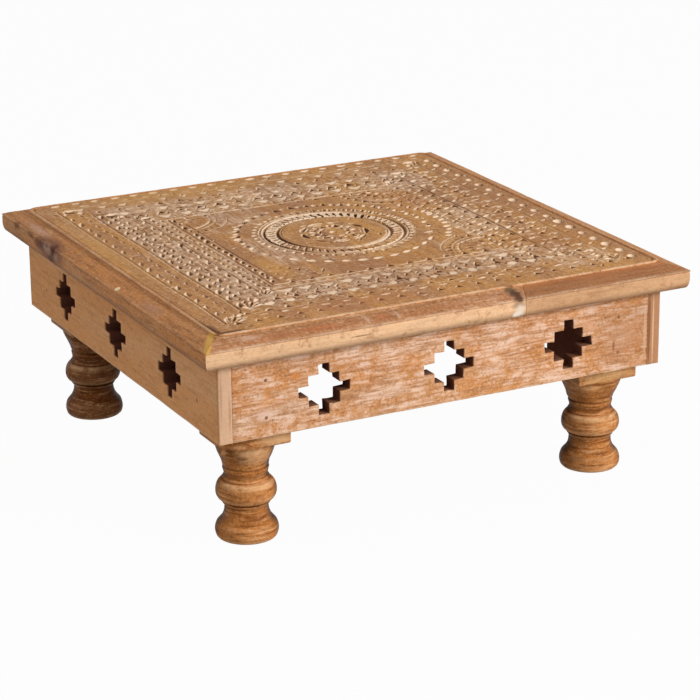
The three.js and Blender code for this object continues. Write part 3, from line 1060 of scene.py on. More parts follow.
    def rings(self) -> list[RingGroove]:
        """The turned grooves and the crescents of the medallion.

        Returns:
            The grooves.
        """
        rings = [
            RingGroove(self.middle, 50.2, 4, 2.2, -0.35, shaded_side=195, swing=0.75),
            RingGroove(self.middle, 62, 3.4, 2, -0.3, shaded_side=205, swing=0.65),
            RingGroove(self.middle, 47.2, 1.8, 0.5, 0.1, shaded_side=90, swing=0.5),
            RingGroove(self.middle, 66, 1.8, 0.6, 0.3, shaded_side=20, swing=0.4),
        ]
        for petal in range(self.petals):
            start = 360 // self.petals * petal + 4
            rings.append(RingGroove(self.middle, 28.5, 5, 2.1, -0.8, start, start + 32))
            rings.append(RingGroove(self.middle, 24.5, 2.4, 0.8, 0.3, start + 2, start + 30))
            rings.append(RingGroove(self.middle, 12.8, 3.4, 1.5, -0.7, start + 20, start + 50))
        for turns, (x, y) in enumerate(self.fan_corners()):
            start = turns * 90
            strength = self.fan_strength(turns)
            rings.append(RingGroove((x, y), 38.5, 2.2, 0.8 * strength, 0.5 * strength, start, start + 90))
            rings.append(RingGroove((x, y), 48.5, 2.2, 0.8 * strength, 0.4 * strength, start, start + 90))
        return rings

    def fan_corners(self) -> list[Point]:
        """The four corners that the fans spread from, from the front left, anticlockwise."""
        corner = self.inner_square - 4.5
        return [(-corner, -corner), (corner, -corner), (corner, corner), (-corner, corner)]

    def fan_strength(self, turns: int) -> float:
        """How strongly a corner's fan is cut; only the back right one is still crisp."""
        return 1.0 if turns == 2 else 0.45

    def medallion(self) -> list[ChipRing]:
        """The round middle of the pattern.

        Returns:
            The rings of chips.
        """
        vee, notch, gouge = Cut.VEE, Cut.NOTCH, Cut.GOUGE
        middle = self.middle
        return [
            ChipRing(middle, 0.1, 1, 6, 6, 1.2, gouge, 0.5),
            ChipRing(middle, 19.5, self.petals, 8, 6.5, 2, notch, -0.9),
            ChipRing(middle, 19, self.petals, 6, 3.4, 1.2, gouge, 0.5, 0, 20, 380),
            ChipRing(middle, 56.2, 30, 10, 4.4, 0.5, gouge, 1.5, 0.4, -10, 190),
            ChipRing(middle, 56.2, 30, 10.5, 3.4, 2.3, vee, -1.7, 0.4, -6.7, 193.3),
            ChipRing(middle, 56.5, 24, 9, 3, 1.4, vee, -0.4, 0.4, 193.3, 353.3),
            ChipRing(middle, 70, 26, 8, 4.6, 1.8, notch, 1, 0.3, -75, 105),
            ChipRing(middle, 71, 26, 7, 3.6, 1.7, notch, -1, 0.3, -71.5, 108.5),
            ChipRing(middle, 70, 24, 5, 3.4, 1.2, gouge, 0.3, 0.3, 105, 285),
            ChipRing(middle, 88, 14, 9.5, 5, 1.9, vee, 0.9, QUARTER, -172, -38),
            ChipRing(middle, 88, 22, 8, 6.5, 2, notch, -1, 0, -38, 188),
            ChipRing(middle, 86, 22, 6.5, 4, 1.4, gouge, 0.7, 0.5, -33, 193),
            ChipRing(middle, 102, 12, 8, 5, 1.8, vee, 0.3, 0.5, -38, 30),
        ]

    def fans(self) -> list[ChipRing]:
        """The quarter fans in the corners of the inner square.

        Returns:
            The rings of chips.
        """
        vee, notch, gouge = Cut.VEE, Cut.NOTCH, Cut.GOUGE
        rings = []
        for turns, corner in enumerate(self.fan_corners()):
            start, end = turns * 90, turns * 90 + 90
            strength = self.fan_strength(turns)
            deep = 1.9 * strength
            rings += [
                ChipRing(corner, 43.5, 8, 7, 6, deep, notch, -strength, 0, start, end),
                ChipRing(corner, 33.5, 7, 7, 4, 0.7 * deep, vee, 0.6 * strength, QUARTER, start, end),
                ChipRing(corner, 25, 5, 9, 5, 0.8 * deep, notch, -0.8 * strength, 0, start, end),
                ChipRing(corner, 15, 3, 7, 5, 0.7 * deep, gouge, 0.5 * strength, 0, start, end),
            ]
        return rings

    def corner_leaves(self) -> list[Chip]:
        """The leaves and lozenges in the corners of the bands.

        Returns:
            The chips.
        """
        chips = []
        for turns in range(4):
            angle = turns * QUARTER
            cos, sin = math.cos(angle), math.sin(angle)
            for out, size in ((128, 0.7), (153, 1.0), (182, 1.0)):
                for spread in (-0.62, -0.22, 0.22, 0.62):
                    heading = -0.75 * math.pi + spread
                    x = -out + 8 * size * math.cos(heading + math.pi)
                    y = -out + 8 * size * math.sin(heading + math.pi)
                    chips.append(Chip(
                        x * cos - y * sin, x * sin + y * cos, heading + angle,
                        13 * size, 4.4 * size, 1.9, Cut.VEE, 0.9 if abs(spread) > 0.4 else -0.9))
                x, y = -out + 13 * size, -out + 13 * size
                chips.append(Chip(
                    x * cos - y * sin, x * sin + y * cos, angle + 0.25 * math.pi,
                    6 * size, 5 * size, 1.6, Cut.GOUGE, 0.9))
        return chips

    def slips(self, rng: np.random.Generator) -> list[Chip]:
        """The scratches that a slipping chisel leaves round the cuts.

        Args:
            rng: The source of chance.

        Returns:
            The chips.
        """
        slips = []
        for _ in range(self.slip_count):
            x, y = rng.uniform(-self.slip_reach, self.slip_reach, 2)
            inside = max(abs(x), abs(y)) < self.inner_square
            length = rng.uniform(4, 11)
            if inside and math.hypot(x, y) > self.ring_field and rng.random() < 0.6:
                continue
            slips.append(Chip(
                x, y, rng.uniform(0, math.pi), length, rng.uniform(2.2, 3.4), rng.uniform(0.3, 0.8),
                Cut.VEE, rng.choice((-0.5, -0.3, 0, 0.3))))
        return slips

    def relief(self, x: Values, y: Values) -> tuple[Values, Values]:
        """The carved surface over a grid.

        Args:
            x: The grid's places along X, rising.
            y: The grid's places along Y, rising.

        Returns:
            The depth below the panel's top and the tone, one row for each y.
        """
        depth = np.zeros((len(y), len(x)))
        tone = np.zeros_like(depth)
        grid_x, grid_y = np.meshgrid(x, y)
        for groove in self.grooves:
            cut = groove.depth_at(grid_x, grid_y)
            shade = groove.tone_at(grid_x, grid_y) * np.clip(3 * cut / groove.depth, 0, 1)
            self.sink(depth, tone, cut, shade)
        for chip in self.chips:
            reach = 0.5 * math.hypot(chip.length, chip.width)
            x0, x1 = np.searchsorted(x, (chip.x - reach, chip.x + reach))
            y0, y1 = np.searchsorted(y, (chip.y - reach, chip.y + reach))
            if x0 == x1 or y0 == y1:
                continue
            window = (slice(y0, y1), slice(x0, x1))
            dx = grid_x[window] - chip.x
            dy = grid_y[window] - chip.y
            cos, sin = math.cos(chip.heading), math.sin(chip.heading)
            cut = chip.depth_at(dx * cos + dy * sin, dy * cos - dx * sin)
            self.sink(depth[window], tone[window], cut, chip.tone * np.clip(7 * cut / chip.depth, 0, 1))
        # The tone takes the painted light and shade of the edging on top of the tones of the cuts.
        return depth, 0.9 * tone + 1.15 * self.edging(depth, x, y)

    @staticmethod
    def sink(depth: Values, tone: Values, cut: Values, shade: Values) -> None:
        """Takes a cut out of the surface where it is the deepest so far.

        Args:
            depth: The depth so far, changed in place.
            tone: The tone so far, changed in place.
            cut: The new cut's depth.
            shade: The new cut's tone.
        """
        deeper = cut > depth
        tone[deeper] = shade[deeper]
        depth[deeper] = cut[deeper]

    @staticmethod
    def edging(depth: Values, x: Values, y: Values) -> Values:
        """Pales the rims of the cuts, paints shade into their bottoms, and paints light and shade by slope.

        Args:
            depth: The depth of the carving.
            x: The grid's places along X.
            y: The grid's places along Y.

        Returns:
            What to add to the tone.
        """
        # The rims are paled as wear; the bottoms of the cuts are darkened as painted shade.
        rim = soften(depth, 5) - depth
        slope_y, slope_x = np.gradient(depth, y, x)
        # Painted light and shade: faces that slope towards the key light are paled and those that slope away
        # darkened.
        painted_light = np.clip(1.7 * (0.62 * slope_x - 0.78 * slope_y), -0.7, 0.95)
        return np.clip(1.1 * rim, -0.28, 0.3) + painted_light

    def patches(self) -> list[Patch]:
        """The areas that have kept most of their limewash.

        Returns:
            The areas.
        """
        return [
            Patch(-136, -10, 24, 130, 1),
            Patch(20, -137, 120, 18, 0.9),
            Patch(120, -138, 40, 26, 0.5),
            Patch(-68, -20, 15, 40, 1.2),
            Patch(-50, 95, 26, 26, 0.9),
            Patch(-50, 145, 110, 28, 0.6),
            Patch(126, -20, 20, 40, 1),
            Patch(128, 128, 30, 30, 1),
            Patch(155, -165, 26, 20, 0.9),
        ]

    def outside_corner(self, x: Values, y: Values) -> Values:
        """How far a point lies outside the bead's rounded corners.

        Args:
            x: Places along X.
            y: Places along Y.

        Returns:
            The distance, 0 or less inside.
        """
        inner = self.half - self.corner_radius
        past_x, past_y = (np.maximum(np.abs(places) - inner, 0) for places in (x, y))
        return np.hypot(past_x, past_y) - self.corner_radius

    def make_plank(self, index: int) -> Piece:
        """Models one plank.

        Args:
            index: Which plank, from the left.

        Returns:
            The piece.
        """
        width = (2 * self.half - (self.count - 1) * self.gap) / self.count
        left = -self.half + index * (width + self.gap)
        x = np.linspace(left, left + width, int(width / self.spacing) + 1)
        y = np.linspace(-self.half, self.half, int(2 * self.half / self.spacing) + 1)
        deselect()
        bpy.ops.mesh.primitive_grid_add(x_subdivisions=len(x) - 1, y_subdivisions=len(y) - 1, size=1)
        plank = new_piece(f"carved_plank_{index + 1}")
        self.carve(plank, x, y)
        self.close(plank)
        smooth(plank, self.shading)
        return plank

    def carve(self, plank: Piece, x: Values, y: Values) -> None:
        """Sinks the carving into a flat sheet, and stores what the finish has to know of it.

        Args:
            plank: The sheet.
            x: The places of its columns along X, rising.
            y: The places of its rows along Y, rising.
        """
        depth, tone = self.relief(x, y)
        grid_x, grid_y = np.meshgrid(x, y)
        places = np.stack([grid_x.ravel(), grid_y.ravel(), np.zeros(grid_x.size)], 1)
        flat_x, flat_y = places[:, 0], places[:, 1]
        rolling = 0.16 * lattice_noise(places, (40, 90, 1), 3) + 0.07 * lattice_noise(places, (3, 14, 1), 4)
        reach = np.maximum(np.abs(flat_x), np.abs(flat_y))
        punched = ramp(reach, self.inner_square - 3, self.inner_square + 3) * ramp(-reach, -170, -160)
        pits = (0.06 + 0.16 * punched) * lattice_noise(places, 3.6, 5)
        pits += (0.05 + 0.1 * punched) * lattice_noise(places, 1.9, 6)
        edge = np.minimum(flat_x - x[0], x[-1] - flat_x)
        joint = 0.1 * (1 - ramp(edge, 0, 0.8))
        outside = ramp(self.outside_corner(flat_x, flat_y), -0.6, 0.6)
        sunk = np.maximum(depth.ravel() + joint + pits - rolling + 0.3, 0.02)
        move_points(plank, np.stack([flat_x, flat_y, self.top - sunk - self.corner_drop * outside], 1))
        chalk = sum(patch.cover(flat_x, flat_y) for patch in self.patches())
        store(plank, "tone", tone.ravel() - 1.6 * pits * punched)
        store(plank, "chalk", np.clip(chalk, 0, 1.2))
        # Painted shade along the planks' edge beside the bead, by the near left corner.
        near_corner = ramp(-flat_x - flat_y, 372, 392)
        store(plank, "wear", -0.8 * near_corner * ramp(reach, 198, 202))

    def close(self, plank: Piece) -> None:
        """Gives a carved sheet its sides and underside.

        Args:
            plank: The sheet.
        """
        with editing(plank, Mode.VERTEX):
            bpy.ops.mesh.select_all(action="DESELECT")
            bpy.ops.mesh.select_non_manifold()
            bpy.ops.mesh.extrude_region_move(TRANSFORM_OT_translate={"value": (0, 0, -5 * MM)})
        points = points_of(plank)
        sides = points[:, 2] < self.top - 4.5
        points[sides, 2] = self.underside
        move_points(plank, points)
        with editing(plank, Mode.VERTEX, sides):
            bpy.ops.mesh.edge_face_add()

    def build(self, material: Material) -> None:
        """Models and dresses the planks.

        Args:
            material: Their finish.
        """
        self.draw()
        for index in range(self.count):
            dress(self.make_plank(index), material, [f"top_plank_{index + 1}"])


# Frame

@dataclass
class MouldedFrame:
    """The mitred rails round the planks, and the bead that runs inside them."""

    half: float = 225.0
    opening: float = 204.0
    underside: float = 168.4
    arris: float = 184.4
    seat: float = 176.7
    seat_lip: float = 192.0
    fascia: float = 224.8
    lip_radius: float = 0.7
    quirk: float = 182.4
    round_width: float = 3.0
    round_height: float = 9.0
    bead_width: float = 4.0
    bead_crest: float = 191.4
    bead_foot: float = 189.3
    bead_corner: float = 9.0
    mitre_gap: float = 0.15
    joint_gap: float = 0.3
    splice: float = 63.5
    splice_slope: float = 0.38
    slice_length: float = 2.5
    lip_wear: Point = (224.6, 183.9)
    foot_wear: Point = (224.0, 171.5)
    quirk_shade: Point = (223.9, 182.4)
    groove_shade: Point = (209.3, 188.1)
    bead_nick: Point = (57.5, -206.0)
    shading: float = 38.0
    bead_shading: float = 60.0

    def outline(self) -> list[Point]:
        """The rails' section, anticlockwise, as distance out and height.

        Returns:
            The points.
        """
        lip = self.lip_radius
        rise = self.bead_foot - 0.8 - self.arris
        face_out, face_in = self.half - lip, self.opening + self.bead_width + 2.6
        face = [
            (face_out - s * (face_out - face_in), self.arris + rise * s + 0.55 * math.sin(math.pi * s))
            for s in np.linspace(0.05, 1, 13)
        ]
        foot = (self.fascia - self.round_width, self.underside + self.round_height)
        return [
            (self.seat_lip, self.underside),
            (208.0, self.underside),
            *arc(foot, (self.round_width, self.round_height), -90, 0, 8),
            (self.fascia - 0.05, 179.6),
            (self.fascia, self.quirk - 0.6),
            (self.fascia - 0.45, self.quirk),
            *arc((self.half - lip, self.arris - lip), (lip, lip), -70, 85, 6),
            *face,
            (face_in - 0.9, self.bead_foot - 0.6),
            (face_in - 1.9, self.bead_foot - 0.2),
            (face_in - 2.6, self.bead_foot + 0.5),
            (self.opening + 2.0, self.bead_foot + 0.7),
            (self.opening, self.bead_foot + 0.7),
            (self.opening, self.seat),
            (self.seat_lip, self.seat),
        ]

    def rail(self, name: str, side: Side, cut_left: bool, cut_right: bool) -> Piece:
        """Models one length of rail.

        Args:
            name: The piece's name.
            side: The side that it lies on.
            cut_left: Whether its left end is the splice.
            cut_right: Whether its right end is the splice.

        Returns:
            The piece.
        """
        outline = self.outline()
        deselect()
        bpy.ops.mesh.primitive_circle_add(vertices=len(outline), radius=1, fill_type="NGON")
        rail = new_piece(name)
        move_points(rail, np.array([(-self.half, -out, height) for out, height in outline]))
        with editing(rail, Mode.FACE):
            bpy.ops.mesh.extrude_region_move(
                TRANSFORM_OT_translate={"value": (2 * self.half * MM, 0, 0)})
        slope = self.splice_slope
        split = (self.splice + self.half * slope + self.joint_gap / 2 * (-1 if cut_right else 1))
        left = ((split, 0, 0), (-1, slope, 0)) if cut_left else ((self.mitre_gap, 0, 0), (-1, 1, 0))
        right = ((split, 0, 0), (1, -slope, 0)) if cut_right else ((-self.mitre_gap, 0, 0), (1, 1, 0))
        for middle, normal in (left, right):
            with editing(rail, Mode.FACE):
                bpy.ops.mesh.bisect(
                    plane_co=[c * MM for c in middle], plane_no=normal, use_fill=True, clear_outer=True)
        face_outwards(rail)
        vectors = edge_vectors(rail)
        long = np.abs(vectors[:, 0]) > 20
        pieces = int(np.abs(vectors[:, 0]).max() / self.slice_length)
        with editing(rail, Mode.EDGE, long & (np.hypot(vectors[:, 1], vectors[:, 2]) < 1)):
            bpy.ops.mesh.subdivide(number_cuts=pieces)
        self.weather(rail, side)
        turn(rail, side.angle)
        smooth(rail, self.shading)
        return rail

    def weather(self, rail: Piece, side: Side) -> None:
        """Wears a rail's arrises and lets its faces roll a little, as hand planing does, and paints light and
        shade on it.

        Args:
            rail: The rail, still lying along the front.
            side: The side that it is for.
        """
        points = points_of(rail)
        out, height = -points[:, 1], points[:, 2]
        seed = 20 + side.value
        shown = ramp(out, 204.5, 207) * ramp(height, self.underside + 0.2, self.underside + 2)
        roll = lattice_noise(points, (38, 9, 9), seed)
        nick = np.clip(lattice_noise(points, (6, 30, 30), seed + 7) - 0.55, 0, 1)
        lip = nearness(out, height, self.lip_wear, 2)
        foot = nearness(out, height, self.foot_wear, 9)
        moved = points.copy()
        moved[:, 2] -= shown * (0.16 + 0.16 * roll) + 0.5 * lip * nick
        moved[:, 1] += shown * (0.12 + 0.1 * roll) + 0.4 * (lip + foot) * nick
        move_points(rail, moved)
        fascia = ramp(out, 221.5, 223.5) * ramp(-height, -183.2, -182.8)
        quirk = nearness(out, height, self.quirk_shade, 0.5)
        groove = nearness(out, height, self.groove_shade, 1.4)
        # Painted shade on the foot of the fascia, where it rounds under.
        low = ramp(-height, -175, -169.5) * ramp(out, 215, 222)
        patchy = 0.6 + 0.5 * lattice_noise(points, (14, 30, 30), seed + 3)
        front = side is Side.FRONT
        # Wear and a painted highlight on the lip, strongest on the front; painted shade in the quirk, and in
        # the groove beside the bead on the front.
        worn = (0.6 if front else 0.25) * lip * patchy - 0.2 * quirk - (0.15 if front else 0) * groove
        store(rail, "wear", worn - 0.55 * low * fascia)
        long_part = ramp(-points[:, 0], -64, -60)
        bare = 0.1 + (0.72 + 0.25 * long_part if front else 0)
        store(rail, "bare", fascia * (bare + 0.25 * lattice_noise(points, (60, 30, 9), seed + 4)))

    def bead(self) -> Piece:
        """Models the bead, with its rounded corners.

        Returns:
            The piece.
        """
        line = self.opening + self.bead_width / 2
        straight = line - self.bead_corner
        deselect()
        bpy.ops.mesh.primitive_circle_add(
            vertices=16, radius=self.bead_width / 2 * MM, fill_type="NOTHING",
            location=(-straight * MM, -line * MM, self.bead_foot * MM), rotation=(0, QUARTER, 0))
        bead = new_piece("frame_bead")
        points = points_of(bead)
        points[:, 2] = self.bead_foot + 0.85 + (points[:, 2] - self.bead_foot) * 0.62
        move_points(bead, points)
        steps = int(2 * straight / 3)
        with editing(bead, Mode.VERTEX):
            for side in Side:
                along = Vector((math.cos(side.angle), math.sin(side.angle), 0))
                stride = along * (2 * straight / steps * MM)
                for _ in range(steps):
                    bpy.ops.mesh.extrude_region_move(TRANSFORM_OT_translate={"value": stride})
                pivot = Matrix.Rotation(side.angle, 3, "Z") @ Vector((straight * MM, -straight * MM, 0))
                bpy.ops.mesh.spin(steps=8, angle=-QUARTER, center=pivot, axis=(0, 0, 1))
        face_outwards(bead)
        self.wear_bead(bead)
        smooth(bead, self.bead_shading)
        return bead

    def wear_bead(self, bead: Piece) -> None:
        """Flattens the bead in places, nicks it by the splice, and paints light and shade on it.

        Args:
            bead: The bead.
        """
        points = points_of(bead)
        crest = ramp(points[:, 2], self.bead_foot + 0.6, self.bead_crest)
        out = np.abs(points[:, :2]).max(1)
        outer = ramp(out, 204.5, 206.5)
        worn = np.clip(lattice_noise(points, 16, 31), -0.2, 1)
        nick_x, nick_y = self.bead_nick
        nick = np.exp(-((points[:, 0] - nick_x) ** 2 / 7 + (points[:, 1] - nick_y) ** 2 / 16))
        points[:, 2] -= crest * (0.12 + 0.15 * worn + 1.2 * nick)
        move_points(bead, points)
        patchy = 0.55 + 0.45 * lattice_noise(points, (9, 9, 30), 33)
        in_front = ramp(-points[:, 1], 190, 205)
        near_corner = ramp(-points[:, 0] - points[:, 1], 360, 385)
        lit = np.maximum(0.5, np.maximum(in_front, near_corner))
        # Painted shade on the bead's inner side, strongest by the near left corner.
        inner = (1 - outer) * (0.1 + 0.8 * near_corner)
        # Wear and a painted highlight on the crest, strongest where it faces the front and the near left
        # corner; a little painted light on the flanks of the other sides.
        painted_light = 0.85 * lit * crest * outer * patchy
        flank_light = 0.1 * (1 - lit) * (1 - crest)
        store(bead, "wear", painted_light - inner + flank_light - 1.2 * nick)
        # The crest is also paled towards the sanded colour, more where it is lit: partly a painted highlight.
        store(bead, "bare", 0.4 * lit * crest * outer)

    def build(self, finishes: dict[str, Material]) -> None:
        """Models and dresses the rails and the bead.

        Args:
            finishes: The finish of each rail.
        """
        rails = (
            ("back", Side.BACK, False, False), ("left", Side.LEFT, False, False),
            ("right", Side.RIGHT, False, False), ("front_long", Side.FRONT, False, True),
            ("front_short", Side.FRONT, True, False))
        for label, side, cut_left, cut_right in rails:
            rail = self.rail(f"moulded_top_rail_{label}", side, cut_left, cut_right)
            dress(rail, finishes[label], [f"top_rail_{label}"])
        dress(self.bead(), finishes["left"])


# Apron

@dataclass
class FretworkApron:
    """The four boards under the frame, each pierced by three stepped crosses."""

    face: float = 207.1
    bottom: float = 98.8
    top: float = 168.1
    end_thickness: float = 14.0
    side_thickness: float = 18.6
    rebated_thickness: float = 12.0
    rebate_start: float = 138.25
    gap: float = 0.08
    cell_width: float = 9.24
    cell_height: float = 8.64
    fret_pitch: float = 114.85
    fret_height: float = 130.6
    nail_along: float = 165.55
    nail_from_bottom: float = 16.5
    nail_from_top: float = 21.1
    side_nail_rise: float = 9.0
    nail_hole: float = 1.5
    nail_sink: float = 1.3
    arris: float = 0.6
    shading: float = 35.0
    spacing: float = 4.0
    shown_depth: float = 1.8
    shifts: dict[Side, float] = field(default_factory=lambda: {
        Side.FRONT: 1.2, Side.RIGHT: 0.0, Side.BACK: 0.0, Side.LEFT: -4.7})

    @property
    def fret_middles(self) -> Triple:
        """Where the three crosses stand along a board, before its shift."""
        return (-self.fret_pitch, 0.0, self.fret_pitch)

    def lines(self, low: float, high: float, fixed: Sequence[float]) -> Values:
        """Grid lines that keep to given places and fill in evenly between them.

        Args:
            low: The first line.
            high: The last line.
            fixed: Places that must have a line.

        Returns:
            The lines, rising.
        """
        stops = sorted({low, high, *fixed})
        pairs = zip(stops, stops[1:])
        parts = [np.linspace(a, b, max(1, round((b - a) / self.spacing)), endpoint=False) for a, b in pairs]
        return np.array([*np.concatenate(parts), high])

    def in_cross(self, along: Values, height: Values, shift: float) -> Values:
        """Tells which places a cross takes away.

        Args:
            along: Places along the board.
            height: Their heights.
            shift: How far the crosses are moved along the board.

        Returns:
            One flag per place.
        """
        taken = np.zeros(len(along), bool)
        row = np.abs(height - self.fret_height) / self.cell_height
        for middle in self.fret_middles:
            column = np.abs(along - middle - shift) / self.cell_width
            for step in range(3):
                taken |= (column < step + 0.5) & (row < 2.5 - step)
        return taken

    def board(self, side: Side) -> Piece:
        """Models one board.

        Args:
            side: The side that it is for.

        Returns:
            The piece.
        """
        shift = self.shifts[side]
        is_end = side in (Side.FRONT, Side.BACK)
        thickness = self.end_thickness if is_end else self.side_thickness
        half = self.face - self.rebated_thickness - self.gap if is_end else self.face
        halves = [k + 0.5 for k in range(-3, 3)]
        fixed_x = [m + shift + k * self.cell_width for m in self.fret_middles for k in halves]
        rebate = self.rebate_start
        fixed_x += [-rebate, -rebate + 1, rebate - 1, rebate]
        fixed_z = [self.fret_height + k * self.cell_height for k in halves]
        x = self.lines(-half, half, fixed_x)
        z = self.lines(self.bottom, self.top, fixed_z)
        deselect()
        bpy.ops.mesh.primitive_grid_add(x_subdivisions=len(x) - 1, y_subdivisions=len(z) - 1, size=1)
        board = new_piece(f"fretwork_apron_{side.label}")
        grid_x, grid_z = np.meshgrid(x, z)
        flat = np.stack([grid_x.ravel(), np.full(grid_x.size, -self.face), grid_z.ravel()], 1)
        move_points(board, flat)
        middles = np.array([face.center[:] for face in board.data.polygons]) / MM
        with editing(board, Mode.FACE, self.in_cross(middles[:, 0], middles[:, 2], shift)):
            bpy.ops.mesh.delete(type="FACE")
        with editing(board, Mode.FACE):
            for depth in (self.shown_depth, thickness - self.shown_depth):
                bpy.ops.mesh.extrude_region_move(TRANSFORM_OT_translate={"value": (0, depth * MM, 0)})
        face_outwards(board)
        if not is_end:
            points = points_of(board)
            thinned = (np.abs(points[:, 0]) > rebate - 0.5) & (points[:, 1] > -self.face + thickness - 1)
            points[thinned, 1] = -self.face + self.rebated_thickness
            move_points(board, points)
        add_and_apply(
            board, "BEVEL", width=self.arris * MM, segments=2, limit_method="ANGLE",
            angle_limit=math.radians(40))
        self.weather(board, side, shift, is_end)
        self.sink_nails(board, is_end)
        turn(board, side.angle)
        smooth(board, self.shading)
        return board

    def weather(self, board: Piece, side: Side, shift: float, is_end: bool) -> None:
        """Makes the sawn crosses a little uneven, wears the board's edges, and paints shade in the crosses
        and on its back.

        Args:
            board: The board, still along the front.
            side: The side that it is for.
            shift: How far its crosses are moved along it.
            is_end: Whether it is the front or the back board.
        """
        points = points_of(board)
        along, height = points[:, 0], points[:, 2]
        seed = 40 + side.value
        rows = np.abs(height - self.fret_height) / self.cell_height
        near = np.zeros(len(points))
        for middle in self.fret_middles:
            columns = np.abs(along - middle - shift) / self.cell_width
            near = np.maximum(near, ramp(-(columns + rows), -3.9, -3.1))
        wobble_x = lattice_noise(points, (7, 40, 7), seed)
        wobble_z = lattice_noise(points, (7, 40, 7), seed + 3)
        behind = self.face + points[:, 1]
        outer = 1 - ramp(behind, 0, 1.5)
        rolling = lattice_noise(points, (26, 20, 13), seed + 5)
        moved = points.copy()
        unevenness = 0.65 if is_end else 0.35
        moved[:, 0] += unevenness * near * wobble_x
        moved[:, 2] += unevenness * near * wobble_z
        moved[:, 1] += outer * (0.11 + 0.1 * rolling)
        low_edge = np.exp(-((height - self.bottom) / 1.6) ** 2)
        moved[:, 2] += low_edge * (0.25 + 0.25 * lattice_noise(points, (18, 30, 30), seed + 9))
        move_points(board, moved)
        rim = self.rim(points, shift)
        ends = np.abs(points[:, 0]).max() - np.abs(along)
        arris = np.exp(-((ends - 0.6) / 1.2) ** 2)
        is_left = side is Side.LEFT
        grimy = 0.35 * (side is Side.RIGHT) * (1 - ramp(ends, 0.2, 0.6))
        store(board, "wear", (0.1 * rim + 0.3 * low_edge - 0.3 * arris * is_left) * outer - grimy)
        # Painted shade inside the table: the walls of the crosses, less on the upward ledges of the front and
        # back boards, and the board's back.
        normals = np.empty(len(points) * 3)
        board.data.vertices.foreach_get("normal", normals)
        upward = np.clip(normals.reshape(-1, 3)[:, 2], 0, 1)
        reveal_shade = near * ramp(behind, 0.4, 1.5) * (1 - (0.3 if is_end else 0) * upward)
        back = ramp(behind, 9, 11.5) * ramp(ends, 0.5, 2)
        store(board, "hollow", np.maximum(reveal_shade, back))
        store(board, "bare", (0.6 if is_left else 0.1) * (1 - ramp(ends, 0.2, 0.6)) * ramp(behind, 0.4, 1.2))

    def rim(self, points: Values, shift: float) -> Values:
        """Finds the points on the crosses' outlines.

        Args:
            points: The board's points.
            shift: How far its crosses are moved along it.

        Returns:
            1 on an outline and 0 away from it.
        """
        counts = np.zeros(len(points))
        for dx, dz in itertools.product((-1.0, 0, 1.0), repeat=2):
            counts += self.in_cross(points[:, 0] + dx, points[:, 2] + dz, shift)
        return ((counts > 0) & (counts < 9)).astype(float)

    def sink_nails(self, board: Piece, is_end: bool) -> None:
        """Cuts the holes that the nails' heads lie in.

        Args:
            board: The board, still along the front.
            is_end: Whether it is the front or back board.
        """
        rise = 0 if is_end else self.side_nail_rise
        cutters = []
        for along in (-self.nail_along, self.nail_along):
            for height in (self.bottom + self.nail_from_bottom + rise, self.top - self.nail_from_top + rise):
                deselect()
                bpy.ops.mesh.primitive_cylinder_add(
                    vertices=12, radius=self.nail_hole * MM, depth=2 * self.nail_sink * MM,
                    location=(along * MM, -self.face * MM, height * MM), rotation=(QUARTER, 0, 0))
                cutters.append(new_piece("nail_hole"))
        pick(cutters[0])
        for cutter in cutters[1:]:
            cutter.select_set(True)
        bpy.ops.object.join()
        joined = bpy.context.object
        add_and_apply(board, "BOOLEAN", object=joined, operation="DIFFERENCE", solver="EXACT")
        bpy.data.objects.remove(joined)

    def build(self, finishes: dict[Side, Material], iron: Material) -> None:
        """Models and dresses the boards, and dresses the nails.

        Args:
            finishes: The finish of each side's board.
            iron: The nails' finish.
        """
        for side in Side:
            dress(self.board(side), finishes[side], [f"apron_{side.label}"])
        for name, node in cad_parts.items():
            if "nail" in name:
                node.data.materials.clear()
                node.data.materials.append(iron)
                log.info("%s: %s", name, iron.name)


# Legs

